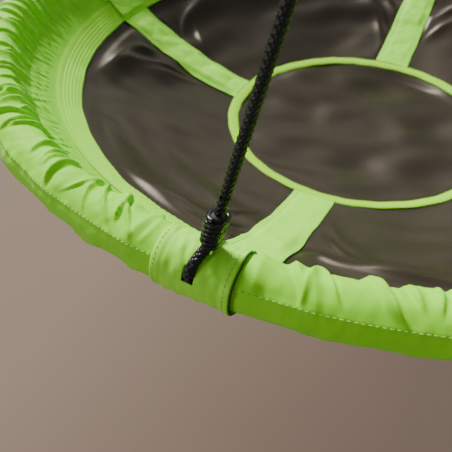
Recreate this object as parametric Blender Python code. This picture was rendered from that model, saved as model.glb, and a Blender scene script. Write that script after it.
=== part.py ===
"""Saucer nest swing: padded steel rim, woven seat, four ropes, two hanging points."""
import math

import bmesh
import bpy
from mathutils import Matrix, Vector

# ---------------------------------------------------------------- driving dimensions (metres)
RIM_R = 0.478              # centreline radius of the rim
SEAT_DEPTH = 0.172         # rim centreline down to the seat centre
CLOTH_T = 0.003            # seat cloth, drawn thick enough to be a solid
RIM_Z = SEAT_DEPTH + CLOTH_T
TUBE_R = 0.0120            # steel rim tube
TUBE_WALL = 0.0015
SPIGOT_LEN_DEG = 4.0       # swaged end pushed into the next tube
SCREW_DEG = 2.0            # joint screw, past the start of each tube
FOAM_IN_R = 0.0125
FOAM_R = 0.0187
PAD_IN_R = 0.0197          # fabric cover round the foam
PAD_R = 0.0211
CUFF_IN_R = 0.0216         # sleeve round the rim at each rope, roomy enough for the loop
CUFF_R = 0.0230
TAIL_DEG = 220.0           # direction of the cover tail seen in the rim section
TAIL_END = 0.0715          # tail end measured from the rim centreline
CUFF_HALF_DEG = 3.75       # half width of the sleeve round each rope
FOAM_GAP_DEG = 1.0         # half gap in the foam where the rope passes
CUT = 0.0004               # clearance between neighbouring pieces
HEM_R = 0.397              # inner edge of the sewn hem
HEM_DROP = 0.068
SEAT_POWER = 2.485
HEM_T = 0.0022
RING_OUT_R = 0.199         # sewn ring round the seat centre
RING_IN_R = 0.184
STRAP_W = 0.055
STRAP_T = 0.0015
ROPE_R = 0.004
LOOP_R = 0.0164            # rope centre round the steel tube
LAY_R = CUFF_R + ROPE_R + 0.0006
WHIP_LEN = 0.034
ROPE_LEAN = math.radians(15.7)
STRAND_X = 0.0055          # half spacing of the two strands above the whipping
EYE_R = 0.00975            # rope centre round the hanging ring wire
WIRE_R = 0.004
HRING_R = 0.031            # wire centre radius of a hanging ring
HOOK_BAR_R = 0.004
HOOK_HALF_W = 0.018        # wire centre half width of a snap hook
HOOK_H = 0.066             # wire centre height of a snap hook
TAIL_LEN = 0.330
ADJ_DOWN = 0.175           # adjuster centre below the eye
HEM_S = 0.10574            # hem inner edge, measured along the tail
HEM_GAP = 0.0005
STRAP_GAP = 0.0006
WHIP_OUT = 0.005           # whipping foot, outward of the rim centreline
WHIP_RISE = 0.0308         # and above it
WHIP_DRIFT = 0.009         # and along the rope's lean
STRAND_SIDE = 0.0042       # half spacing of the strands inside the whipping
WHIP_SHAPE = ((0.000, 0.0062, 0.0055), (0.004, 0.0060, 0.0046), (0.026, 0.0061, 0.0045),
              (0.034, 0.0066, 0.0048))
GATE_LOW = 0.0144          # gate, measured up from the hook's lower bar
HINGE_Z = 0.0490
LUG_OUTLINE = ((0.92, 0.38), (0.92, 0.92), (0.38, 0.92), (-0.38, 0.92),
               (-0.92, 0.92), (-0.92, 0.38), (-0.92, -0.38), (0.92, -0.38))
SLOTS = ((314.0, 36.0), (144.0, 213.0))   # cuff slots, as angles in the rim section
SLOT_HALF_W = 0.0050
SIDES_TUBE = 10
SIDES_PAD = 12
SEGS = 8                   # rim steps between two cuffs
QUADS = {"front_right": -45.0, "back_right": 45.0, "back_left": 135.0, "front_left": 225.0}


# ---------------------------------------------------------------- materials
def material(name, colour, rough, metallic=0.0):
    mat = bpy.data.materials.new(name)
    mat.use_nodes = True
    bsdf = mat.node_tree.nodes["Principled BSDF"]
    bsdf.inputs["Base Color"].default_value = (*colour, 1.0)
    bsdf.inputs["Roughness"].default_value = rough
    bsdf.inputs["Metallic"].default_value = metallic
    mat.diffuse_color = (*colour, 1.0)
    return mat


def make_materials():
    return {
        "steel": material("galvanised_steel", (0.62, 0.63, 0.64), 0.38, 1.0),
        "zinc": material("bright_zinc_steel", (0.72, 0.73, 0.75), 0.28, 1.0),
        "foam": material("grey_pe_foam", (0.42, 0.43, 0.44), 0.90),
        "cover": material("lime_polyester_cover", (0.36, 0.60, 0.12), 0.72),
        "webbing": material("lime_webbing", (0.46, 0.72, 0.18), 0.70),
        "mesh": material("dark_woven_mesh", (0.060, 0.050, 0.040), 0.55),
        "rope": material("black_braided_rope", (0.012, 0.012, 0.014), 0.55),
        "sleeve": material("clear_black_whipping", (0.020, 0.020, 0.022), 0.25),
        "plastic": material("black_nylon", (0.020, 0.020, 0.020), 0.42),
    }


# ---------------------------------------------------------------- mesh helpers
def add_object(name, bm, mat, parent=None, smooth=True, angle=40.0):
    bmesh.ops.recalc_face_normals(bm, faces=bm.faces)
    mesh = bpy.data.meshes.new(name)
    bm.to_mesh(mesh)
    bm.free()
    mesh.materials.append(mat)
    obj = bpy.data.objects.new(name, mesh)
    bpy.context.scene.collection.objects.link(obj)
    if parent is not None:
        obj.parent = parent
        obj.matrix_parent_inverse = parent_world(parent).inverted()
    if smooth:
        mesh.shade_smooth()
        mesh.set_sharp_from_angle(angle=math.radians(angle))
    return obj


def parent_world(parent):
    return Matrix.Translation(parent.location)


def pivot(name, point):
    empty = bpy.data.objects.new(name, None)
    empty.empty_display_size = 0.03
    empty.location = point
    bpy.context.scene.collection.objects.link(empty)
    return empty


def skin_loops(bm, loops, closed=False, cap=True):
    """Join equal-length vertex loops into a tube; cap both ends or close the run."""
    rings = [[bm.verts.new(p) for p in loop] for loop in loops]
    count = len(rings[0])
    last = len(rings) if closed else len(rings) - 1
    for i in range(last):
        low = rings[i]
        high = rings[(i + 1) % len(rings)]
        for j in range(count):
            k = (j + 1) % count
            bm.faces.new((low[j], low[k], high[k], high[j]))
    if cap and not closed:
        bm.faces.new(rings[0][::-1])
        bm.faces.new(rings[-1])
    return rings


def skin_shell(bm, outers, inners):
    """Tube with a wall: outer and inner skins joined at both open ends."""
    out = skin_loops(bm, outers, cap=False)
    inn = skin_loops(bm, inners, cap=False)
    count = len(out[0])
    for a, b in ((out[0], inn[0]), (out[-1], inn[-1])):
        for j in range(count):
            k = (j + 1) % count
            bm.faces.new((a[j], a[k], b[k], b[j]))


def frames_along(points, start_side):
    """Tangent, side and up vectors carried along a path without twist."""
    result = []
    side = start_side.normalized()
    for i, point in enumerate(points):
        before = points[max(i - 1, 0)]
        after = points[min(i + 1, len(points) - 1)]
        tangent = (after - before).normalized()
        side = (side - tangent * side.dot(tangent)).normalized()
        result.append((point, tangent, side, tangent.cross(side)))
    return result


def sweep_round(bm, points, radius, sides, start_side):
    """Round bar or rope along a path; radius may be one number or one per point."""
    radii = radius if isinstance(radius, list) else [radius] * len(points)
    loops = []
    for (point, _tan, side, up), rad in zip(frames_along(points, start_side), radii):
        loop = []
        for j in range(sides):
            turn = 2 * math.pi * (j + 0.5) / sides
            loop.append(point + side * (rad * math.cos(turn)) + up * (rad * math.sin(turn)))
        loops.append(loop)
    skin_loops(bm, loops)


def catmull(points, steps):
    """Smooth curve through the points."""
    path = []
    full = [points[0] * 2 - points[1]] + list(points) + [points[-1] * 2 - points[-2]]
    for i in range(1, len(full) - 2):
        p0, p1, p2, p3 = full[i - 1:i + 3]
        for s in range(steps):
            t = s / steps
            a = p1 * 2
            b = (p2 - p0) * t
            c = (p0 * 2 - p1 * 5 + p2 * 4 - p3) * t * t
            d = (p1 * 3 - p0 - p2 * 3 + p3) * t ** 3
            path.append((a + b + c + d) * 0.5)
    path.append(full[-2].copy())
    return path


# ---------------------------------------------------------------- shared rim grid
def grid_angles():
    """Section angles round the whole rim, so nested pieces share their facets."""
    angles = []
    span = (90.0 - 2 * CUFF_HALF_DEG) / SEGS
    for quad in range(4):
        base = 90.0 * quad - 45.0
        angles += [base - CUFF_HALF_DEG, base, base + CUFF_HALF_DEG]
        angles += [base + CUFF_HALF_DEG + span * i for i in range(1, SEGS)]
    return angles


GRID = grid_angles()


def spoke(deg):
    """Unit spoke on the faceted rim: straight between two grid angles."""
    turn = (deg - GRID[0]) % 360.0 + GRID[0]
    around = GRID + [GRID[0] + 360.0]
    for low, high in zip(around, around[1:]):
        if low - 1e-9 <= turn <= high + 1e-9:
            a = Vector((math.cos(math.radians(low)), math.sin(math.radians(low)), 0.0))
            b = Vector((math.cos(math.radians(high)), math.sin(math.radians(high)), 0.0))
            c = Vector((math.cos(math.radians(turn)), math.sin(math.radians(turn)), 0.0))
            normal = Vector((a.y - b.y, b.x - a.x, 0.0))
            return c * (a.dot(normal) / c.dot(normal))
    raise ValueError(deg)


def span_angles(start, end):
    """Start, every grid angle in between, end."""
    inside = []
    for turn in range(-1, 3):
        inside += [g + 360.0 * turn for g in GRID]
    return [start] + sorted(g for g in inside if start + 0.3 < g < end - 0.3) + [end]


def ring_point(deg, radial, height):
    point = spoke(deg) * (RIM_R + radial)
    return Vector((point.x, point.y, RIM_Z + height))


def section_loop(deg, profile):
    return [ring_point(deg, x, z) for x, z in profile]


def circle_profile(radius, sides):
    step = 2 * math.pi / sides
    return [(radius * math.cos(step * (i + 0.5)), radius * math.sin(step * (i + 0.5)))
            for i in range(sides)]


def seat_z(radius):
    """Height of the seat cloth top at a distance from the centre."""
    bowl = (SEAT_DEPTH - HEM_DROP) * (radius / HEM_R) ** SEAT_POWER
    return CLOTH_T + bowl


def tail_point(distance, offset):
    """Point in the rim section, along the tail and square to it (offset positive upward)."""
    turn = math.radians(TAIL_DEG)
    along = (math.cos(turn) * distance, math.sin(turn) * distance)
    across = (math.sin(turn) * offset, -math.cos(turn) * offset)
    return (along[0] + across[0], along[1] + across[1])


def teardrop(radius, half_tail, end):
    """Pad section: round over the foam, drawn down to a two-layer tail."""
    points = []
    for i in range(SIDES_PAD - 1):
        turn = math.radians(TAIL_DEG + 62.0 + (360.0 - 124.0) * i / (SIDES_PAD - 2))
        points.append((radius * math.cos(turn), radius * math.sin(turn)))
    points.append(tail_point(radius + 0.014, half_tail * 2.0))
    points.append(tail_point(end, half_tail))
    points.append(tail_point(end, -half_tail))
    points.append(tail_point(radius + 0.014, -half_tail * 2.0))
    return points


# ---------------------------------------------------------------- rim
def build_tube(name, start, mat, root):
    """Bent steel tube, one end swaged down to fit inside the next tube."""
    bm = bmesh.new()
    outer = circle_profile(TUBE_R, SIDES_TUBE)
    inner = circle_profile(TUBE_R - TUBE_WALL, SIDES_TUBE)
    thin = circle_profile(TUBE_R - TUBE_WALL - CUT, SIDES_TUBE)
    thin_in = circle_profile(TUBE_R - 2 * TUBE_WALL - CUT, SIDES_TUBE)
    end = start + 90.0
    body = span_angles(start + 0.05, end - 0.5)
    outers = [section_loop(a, outer) for a in body]
    inners = [section_loop(a, inner) for a in body]
    for angle in (end - 0.02, end + SPIGOT_LEN_DEG):
        outers.append(section_loop(angle, thin))
        inners.append(section_loop(angle, thin_in))
    skin_shell(bm, outers, inners)
    obj = add_object(name, bm, mat, root)
    holes = [screw_rod(a, 0.0025, 0.004, 0.016) for a in (start + SCREW_DEG, end + SCREW_DEG)]
    cut_with(obj, holes)
    return obj


def build_foam(name, base, mat, root):
    """Foam sleeve slipped over the tube between two rope positions."""
    bm = bmesh.new()
    start = base + FOAM_GAP_DEG
    end = base + 90.0 - FOAM_GAP_DEG
    outer = circle_profile(FOAM_R, SIDES_TUBE)
    inner = circle_profile(FOAM_IN_R, SIDES_TUBE)
    angles = span_angles(start, end)
    skin_shell(bm, [section_loop(a, outer) for a in angles], [section_loop(a, inner) for a in angles])
    obj = add_object(name, bm, mat, root)
    cut_with(obj, [screw_rod(base + 45.0 + SCREW_DEG, 0.0056, 0.011, 0.0160)])
    return obj


def pad_shell(start, end):
    bm = bmesh.new()
    outer = teardrop(PAD_R, 0.0019, TAIL_END)
    inner = teardrop(PAD_IN_R, 0.0005, TAIL_END - 0.004)
    angles = span_angles(start, end)
    skin_shell(bm, [section_loop(a, outer) for a in angles], [section_loop(a, inner) for a in angles])
    return bm


def build_cover(name, base, mat, root):
    gap = math.degrees(CUT / RIM_R)
    bm = pad_shell(base + CUFF_HALF_DEG + gap, base + 90.0 - CUFF_HALF_DEG - gap)
    return add_object(name, bm, mat, root)


def box_bmesh(centre, axes, half):
    bm = bmesh.new()
    bmesh.ops.create_cube(bm, size=2.0)
    for vert in bm.verts:
        local = Vector((vert.co.x * half[0], vert.co.y * half[1], vert.co.z * half[2]))
        vert.co = centre + axes[0] * local.x + axes[1] * local.y + axes[2] * local.z
    return bm


def cut_with(obj, cutters):
    """Exact Boolean cuts, one after the other, baked into the mesh."""
    for part in cutters:
        mesh = bpy.data.meshes.new("cutter")
        bmesh.ops.recalc_face_normals(part, faces=part.faces)
        part.to_mesh(mesh)
        part.free()
        cutter = bpy.data.objects.new("cutter", mesh)
        bpy.context.scene.collection.objects.link(cutter)
        cutter.hide_render = True
        cutter.display_type = "WIRE"
        mod = obj.modifiers.new("cut", "BOOLEAN")
        mod.operation = "DIFFERENCE"
        mod.solver = "EXACT"
        mod.object = cutter
        graph = bpy.context.evaluated_depsgraph_get()
        baked = bpy.data.meshes.new_from_object(obj.evaluated_get(graph))
        obj.modifiers.remove(mod)
        old = obj.data
        name = old.name
        obj.data = baked
        bpy.data.meshes.remove(old)
        baked.name = name
        bpy.data.objects.remove(cutter)
        bpy.data.meshes.remove(mesh)


def section_axes(deg):
    """Radial, tangential and vertical unit vectors at a rope position."""
    turn = math.radians(deg)
    radial = Vector((math.cos(turn), math.sin(turn), 0.0))
    tangent = Vector((-math.sin(turn), math.cos(turn), 0.0))
    return radial, tangent, Vector((0.0, 0.0, 1.0))


def with_spots(profile, polars):
    """Add a corner to the section wherever a ray at one of the angles crosses it."""
    result = []
    count = len(profile)
    for i in range(count):
        (ax, ay), (bx, by) = profile[i], profile[(i + 1) % count]
        result.append((ax, ay))
        hits = []
        for polar in polars:
            dx, dy = math.cos(math.radians(polar)), math.sin(math.radians(polar))
            cross = dx * (by - ay) - dy * (bx - ax)
            part = (dy * ax - dx * ay) / cross if abs(cross) > 1e-9 else -1.0
            spot = (ax + (bx - ax) * part, ay + (by - ay) * part)
            if 0.0 < part < 1.0 and spot[0] * dx + spot[1] * dy > 0.0:
                hits.append((part, spot))
        result += [spot for _part, spot in sorted(hits)]
    return result


def polar_of(point):
    return math.degrees(math.atan2(point[1], point[0])) % 360.0


def build_cuff(name, base, mat, root):
    """Fabric sleeve over the rim at a rope, with an outer and an inner slot."""
    polars = [p for slot in SLOTS for p in slot]
    outer = with_spots(teardrop(CUFF_R, 0.0019, TAIL_END), polars)
    inner = with_spots(teardrop(CUFF_IN_R, 0.0005, TAIL_END - 0.004), polars)
    half = math.degrees(SLOT_HALF_W / RIM_R)
    angles = [base - CUFF_HALF_DEG, base - half, base + half, base + CUFF_HALF_DEG]
    bm = bmesh.new()
    out = [[bm.verts.new(p) for p in section_loop(a, outer)] for a in angles]
    inn = [[bm.verts.new(p) for p in section_loop(a, inner)] for a in angles]
    count = len(outer)
    spread = [polar_of(p) for p in outer]
    for j in range(count):
        k = (j + 1) % count
        middle = polar_of(((outer[j][0] + outer[k][0]) / 2, (outer[j][1] + outer[k][1]) / 2))
        open_here = any((middle - low) % 360.0 < (high - low) % 360.0 for low, high in SLOTS)
        for i in range(3):
            if i == 1 and open_here:
                bm.faces.new((out[1][j], out[1][k], inn[1][k], inn[1][j]))
                bm.faces.new((out[2][j], out[2][k], inn[2][k], inn[2][j]))
                continue
            bm.faces.new((out[i][j], out[i][k], out[i + 1][k], out[i + 1][j]))
            bm.faces.new((inn[i][j], inn[i][k], inn[i + 1][k], inn[i + 1][j]))
        for end in (0, 3):
            bm.faces.new((out[end][j], out[end][k], inn[end][k], inn[end][j]))
        if any(abs((spread[j] - p + 180.0) % 360.0 - 180.0) < 0.01 for p in polars):
            bm.faces.new((out[1][j], out[2][j], inn[2][j], inn[1][j]))
    return add_object(name, bm, mat, root)


def screw_rod(deg, radius, low, high):
    """Eight-sided rod pointing out of the rim, from one distance off its centreline to another."""
    radial, tangent, up = section_axes(deg)
    foot = ring_point(deg, 0.0, 0.0)
    bm = bmesh.new()
    loops = []
    for reach in (low, high):
        loops.append([foot + radial * reach + tangent * (radius * math.cos(t)) + up * (radius * math.sin(t))
                      for t in [2 * math.pi * (i + 0.5) / 8 for i in range(8)]])
    skin_loops(bm, loops)
    return bm


def build_screw(name, deg, mat, root):
    """Pan-head self-tapping screw through a rim tube and the swaged end inside it."""
    radial, tangent, up = section_axes(deg)
    foot = ring_point(deg, 0.0, 0.0)
    seat = TUBE_R * math.cos(math.pi / SIDES_TUBE) + CUT
    stations = ((0.0062, 0.0008), (0.0078, 0.0019), (seat, 0.0019), (seat, 0.0045),
                (seat + 0.0012, 0.0045), (seat + 0.0024, 0.0026))
    bm = bmesh.new()
    loops = []
    for reach, rad in stations:
        loops.append([foot + radial * reach + tangent * (rad * math.cos(t)) + up * (rad * math.sin(t))
                      for t in [2 * math.pi * (i + 0.5) / 8 for i in range(8)]])
    skin_loops(bm, loops)
    return add_object(name, bm, mat, root)


# ---------------------------------------------------------------- seat
SEAT_RINGS = (0.020, 0.090, 0.150, 0.1915, 0.250, 0.325, HEM_R)


def seat_height(radius):
    """Cloth top: straight between the rings, so pieces laid on it follow its facets."""
    if radius <= SEAT_RINGS[0]:
        return CLOTH_T
    drop = seat_z(SEAT_RINGS[0]) - CLOTH_T
    for low, high in zip(SEAT_RINGS, SEAT_RINGS[1:]):
        if radius <= high + 1e-9:
            part = (radius - low) / (high - low)
            return seat_z(low) * (1 - part) + seat_z(high) * part - drop
    slope = math.tan(math.radians(TAIL_DEG - 180.0))
    return seat_z(HEM_R) - drop + (radius - HEM_R) * slope


def build_seat(name, mat, root):
    """Woven cloth bowl, its outer margin lying under the hem."""
    margin = RIM_R + 0.078 * math.cos(math.radians(TAIL_DEG))
    rings = list(SEAT_RINGS) + [margin]
    bm = bmesh.new()
    top = []
    low = []
    for radius in rings:
        height = seat_height(radius)
        top.append([bm.verts.new(spoke(a) * radius + Vector((0, 0, height))) for a in GRID])
        low.append([bm.verts.new(spoke(a) * radius + Vector((0, 0, height - CLOTH_T))) for a in GRID])
    count = len(GRID)
    for j in range(count):
        k = (j + 1) % count
        for i in range(len(rings) - 1):
            bm.faces.new((top[i][j], top[i + 1][j], top[i + 1][k], top[i][k]))
            bm.faces.new((low[i][j], low[i][k], low[i + 1][k], low[i + 1][j]))
        bm.faces.new((top[-1][j], low[-1][j], low[-1][k], top[-1][k]))
    for skin in (top, low):
        middle = bm.verts.new((0.0, 0.0, skin[0][0].co.z))
        for j in range(count):
            bm.faces.new((middle, skin[0][j], skin[0][(j + 1) % count]))
    return add_object(name, bm, mat, root)


def build_hem(name, mat, root):
    """Flat stitched band between the pad covers and the cloth."""
    profile = [tail_point(TAIL_END + CUT, HEM_GAP), tail_point(HEM_S, HEM_GAP),
               tail_point(HEM_S, HEM_GAP + HEM_T), tail_point(TAIL_END + CUT, HEM_GAP + HEM_T)]
    bm = bmesh.new()
    skin_loops(bm, [section_loop(a, profile) for a in GRID], closed=True)
    return add_object(name, bm, mat, root)


def build_centre_ring(name, mat, root):
    """Sewn webbing ring on the cloth."""
    bm = bmesh.new()
    stations = (RING_IN_R, SEAT_RINGS[3], RING_OUT_R)
    loops = []
    for angle in GRID:
        base = [spoke(angle) * r + Vector((0, 0, seat_height(r) + HEM_GAP)) for r in stations]
        lift = Vector((0, 0, STRAP_T))
        loops.append(base + [p + lift for p in reversed(base)])
    skin_loops(bm, loops, closed=True)
    return add_object(name, bm, mat, root)


def build_strap(name, base, mat, root):
    """Radial webbing from a cuff over the hem and down the bowl to the sewn ring."""
    radial, tangent, _up = section_axes(base)
    hem_in = RIM_R + tail_point(HEM_S, HEM_GAP + HEM_T)[0]
    hem_out = RIM_R + tail_point(TAIL_END + CUT, HEM_GAP + HEM_T)[0]
    slope = math.tan(math.radians(TAIL_DEG - 180.0))
    hem_in_z = RIM_Z + tail_point(HEM_S, HEM_GAP + HEM_T)[1]
    stations = (hem_out - 0.001, hem_in - 0.003, hem_in - 0.014, 0.325, 0.250, RING_OUT_R + 0.0008)
    loops = []
    for number, reach in enumerate(stations):
        base_row = []
        for i in range(5):
            side = STRAP_W * (i / 4 - 0.5)
            plan = radial * reach + tangent * side
            deg = math.degrees(math.atan2(plan.y, plan.x))
            radius = plan.length / spoke(deg).length
            height = seat_height(radius)
            if number < 2:
                height = hem_in_z + (radius - hem_in) * slope
            base_row.append(Vector((plan.x, plan.y, height + STRAP_GAP)))
        lift = Vector((0, 0, STRAP_T))
        loops.append(base_row + [p + lift for p in reversed(base_row)])
    bm = bmesh.new()
    skin_loops(bm, loops)
    return add_object(name, bm, mat, root)


# ---------------------------------------------------------------- ropes
def rope_signs(base):
    return math.copysign(1.0, math.cos(math.radians(base))), math.copysign(1.0, math.sin(math.radians(base)))


def lean_vector(base):
    """Direction of a rope from the rim up to its hanging ring."""
    _sx, sy = rope_signs(base)
    return Vector((0.0, -sy * math.sin(ROPE_LEAN), math.cos(ROPE_LEAN)))


def whip_foot(base):
    """Centre of the whipping's lower mouth, above the rim."""
    radial, _tangent, up = section_axes(base)
    _sx, sy = rope_signs(base)
    return radial * (RIM_R + WHIP_OUT) + up * (RIM_Z + WHIP_RISE) + Vector((0.0, -sy * WHIP_DRIFT, 0.0))


def lower_pivot(base):
    return whip_foot(base) + lean_vector(base) * (WHIP_LEN + 0.003)


def strand_side(base):
    """Direction across the whipping in which the two strands lie."""
    radial, _tangent, _up = section_axes(base)
    lean = lean_vector(base)
    return (radial - lean * radial.dot(lean)).normalized()


def build_loop(name, base, mat, root):
    """Rope round the steel tube: out of the whipping, over the cuff, through both slots."""
    radial, tangent, up = section_axes(base)
    lean = lean_vector(base)
    side = strand_side(base) * STRAND_SIDE
    centre = radial * RIM_R + up * RIM_Z
    drift = (whip_foot(base) - centre).dot(tangent)
    top = lower_pivot(base) - lean * 0.006
    foot = whip_foot(base)
    polar = ((62, LAY_R, 0.55), (44, LAY_R, 0.25), (27, LAY_R, 0.05), (8, 0.0243, 0.0), (-14, 0.0196, 0.0),
             (-40, LOOP_R, 0.0), (-75, LOOP_R, 0.0), (-105, LOOP_R, 0.0), (-140, LOOP_R, 0.0), (194, 0.0196, 0.0),
             (172, 0.0243, 0.0), (153, LAY_R, 0.05), (136, LAY_R, 0.25), (118, LAY_R, 0.55))
    middle = []
    for deg, reach, share in polar:
        turn = math.radians(deg)
        spot = centre + radial * (reach * math.cos(turn)) + up * (reach * math.sin(turn))
        middle.append(spot + tangent * (drift * share))
    points = [top + side, foot - lean * 0.003 + side] + middle + [foot - lean * 0.003 - side, top - side]
    bm = bmesh.new()
    sweep_round(bm, points, ROPE_R, 8, tangent)
    return add_object(name, bm, mat, root)


def build_whipping(name, base, mat, root):
    """Tight sleeve holding both strands together, oval below and round at the mouth."""
    lean = lean_vector(base)
    side = strand_side(base)
    cross = lean.cross(side)
    foot = whip_foot(base)
    outers = []
    inners = []
    for rise, round_out, round_in in WHIP_SHAPE:
        for rows, rad in ((outers, round_out), (inners, round_in)):
            row = []
            for end, first in ((1.0, -90.0), (-1.0, 90.0)):
                for i in range(5):
                    turn = math.radians(first + 45.0 * i)
                    row.append(foot + lean * rise + side * (end * STRAND_SIDE + rad * math.cos(turn))
                               + cross * (rad * math.sin(turn)))
            rows.append(row)
    bm = bmesh.new()
    skin_shell(bm, outers, inners)
    return add_object(name, bm, mat, root)


def leg_length(base):
    return abs(lower_pivot(base).y) / math.sin(ROPE_LEAN) - HRING_R


def build_leg(name, base, mat, root):
    """Hanging rope: ball end at the rim, eye round the ring wire, knotted tail."""
    sx, _sy = rope_signs(base)
    lean = lean_vector(base)
    foot = lower_pivot(base)
    span = leg_length(base)
    across = Vector((sx, 0.0, 0.0))
    rows = [(-0.0039, 0.0, 0.0009), (-0.0030, 0.0, 0.00265), (-0.0016, 0.0, 0.00367), (0.0, 0.0, ROPE_R)]
    rows += [(span - 0.300, -STRAND_X, ROPE_R), (span - 0.060, -STRAND_X, ROPE_R)]
    rows += [(span - 0.032, -0.0072, ROPE_R), (span - 0.012, -0.0094, ROPE_R)]
    for i in range(7):
        turn = math.pi * (1.0 - i / 6)
        rows.append((span + EYE_R * math.sin(turn), EYE_R * math.cos(turn), ROPE_R))
    rows += [(span - 0.012, 0.0094, ROPE_R), (span - 0.032, 0.0072, ROPE_R)]
    rows += [(span - 0.060, STRAND_X, ROPE_R), (span - 0.292, STRAND_X, ROPE_R)]
    low = span - TAIL_LEN
    rows += [(low + 0.026, 0.0075, ROPE_R), (low + 0.021, 0.0085, 0.0066), (low + 0.013, 0.0085, 0.0068)]
    rows += [(low + 0.008, 0.0085, ROPE_R), (low, 0.0085, ROPE_R)]
    points = [foot + lean * rise + across * shift for rise, shift, _rad in rows]
    bm = bmesh.new()
    sweep_round(bm, points, [rad for _r, _s, rad in rows], 8, Vector((0.0, 1.0, 0.0)))
    return add_object(name, bm, mat, root)


def build_adjuster(name, base, mat, root):
    """Two-hole plastic block that sets the rope length by friction."""
    sx, _sy = rope_signs(base)
    lean = lean_vector(base)
    across = Vector((sx, 0.0, 0.0))
    face = lean.cross(across)
    centre = lower_pivot(base) + lean * (leg_length(base) - ADJ_DOWN)
    profile = [(-0.0165, -0.005), (-0.012, -0.0085), (0.012, -0.0085), (0.0165, -0.005),
               (0.0165, 0.005), (0.012, 0.0085), (-0.012, 0.0085), (-0.0165, 0.005)]
    bm = bmesh.new()
    loops = []
    for rise, grow in ((-0.0160, 0.92), (-0.0140, 1.0), (0.0140, 1.0), (0.0160, 0.92)):
        loops.append([centre + lean * rise + across * (x * grow) + face * (y * grow) for x, y in profile])
    skin_loops(bm, loops)
    obj = add_object(name, bm, mat, root)
    cutters = []
    for shift in (-STRAND_X, STRAND_X):
        hole = bmesh.new()
        rings = []
        for rise in (-0.020, 0.020):
            rings.append([centre + lean * rise + across * (shift + 0.00455 * math.cos(t)) + face * (0.00455 * math.sin(t))
                          for t in [2 * math.pi * i / 10 for i in range(10)]])
        skin_loops(hole, rings)
        cutters.append(hole)
    cut_with(obj, cutters)
    return obj


# ---------------------------------------------------------------- hanging hardware
def ring_centre(sx):
    base = QUADS["back_right"] if sx > 0 else QUADS["back_left"]
    foot = lower_pivot(base)
    rise = (leg_length(base) + HRING_R) * math.cos(ROPE_LEAN)
    return Vector((foot.x, 0.0, foot.z + rise))


def hook_bar(sx):
    return ring_centre(sx) + Vector((0.0, 0.0, HRING_R - WIRE_R - HOOK_BAR_R - 0.001))


def build_hanging_ring(name, sx, mat, root):
    """Welded round ring in the plane of the two ropes."""
    centre = ring_centre(sx)
    loops = []
    for i in range(24):
        turn = 2 * math.pi * i / 24
        out = Vector((0.0, math.sin(turn), math.cos(turn)))
        loop = []
        for j in range(8):
            tilt = 2 * math.pi * (j + 0.5) / 8
            loop.append(centre + out * (HRING_R + WIRE_R * math.cos(tilt)) + Vector((WIRE_R * math.sin(tilt), 0, 0)))
        loops.append(loop)
    bm = bmesh.new()
    skin_loops(bm, loops, closed=True)
    return add_object(name, bm, mat, root)


def hook_path(sx):
    """Wire centreline of the hook body, from the nose round to the gate hinge."""
    corner = 0.012
    path = [(HOOK_HALF_W, GATE_LOW - 0.0004)]
    spots = ((HOOK_HALF_W - corner, corner, 0, -90), (corner - HOOK_HALF_W, corner, -90, -180),
             (corner - HOOK_HALF_W, HOOK_H - corner, 180, 90), (HOOK_HALF_W - corner, HOOK_H - corner, 90, 0))
    for cx, cz, start, end in spots:
        for i in range(4):
            turn = math.radians(start + (end - start) * i / 3)
            path.append((cx + corner * math.cos(turn), cz + corner * math.sin(turn)))
    path.append((HOOK_HALF_W, HOOK_H - corner - 0.0002))
    base = hook_bar(sx)
    return [base + Vector((sx * x, 0.0, z)) for x, z in path]


def y_rod(centre, radius, half, sides):
    """Rod along Y."""
    bm = bmesh.new()
    loops = []
    for shift in (-half, half):
        loops.append([centre + Vector((radius * math.cos(t), shift, radius * math.sin(t)))
                      for t in [2 * math.pi * (i + 0.5) / sides for i in range(sides)]])
    skin_loops(bm, loops)
    return bm


def hinge_spot(sx):
    return hook_bar(sx) + Vector((sx * HOOK_HALF_W, 0.0, HINGE_Z))


def build_hook(name, sx, mat, root):
    """Snap hook body: one bent bar, flattened at the gate hinge."""
    path = hook_path(sx)
    lug_top = hinge_spot(sx) + Vector((0.0, 0.0, 0.0049))
    bm = bmesh.new()
    turns = frames_along(path, Vector((0.0, 1.0, 0.0)))
    loops = []
    for point, _tan, side, up in turns:
        loops.append([point + side * (HOOK_BAR_R * math.cos(t)) + up * (HOOK_BAR_R * math.sin(t))
                      for t in [2 * math.pi * (i + 0.5) / 8 for i in range(8)]])
    for lift, thick, wide in ((0.0, 0.0036, 0.0036), (-0.0008, 0.0013, 0.0034), (-0.0052, 0.0013, 0.0034),
                              (-0.0078, 0.0013, 0.0018)):
        spot = lug_top + Vector((0.0, 0.0, lift))
        loops.append([spot + Vector((0, y, 0)) * thick + Vector((x, 0, 0)) * wide for y, x in LUG_OUTLINE])
    skin_loops(bm, loops)
    obj = add_object(name, bm, mat, root)
    cut_with(obj, [y_rod(hinge_spot(sx), 0.00135, 0.006, 8)])
    return obj


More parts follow.
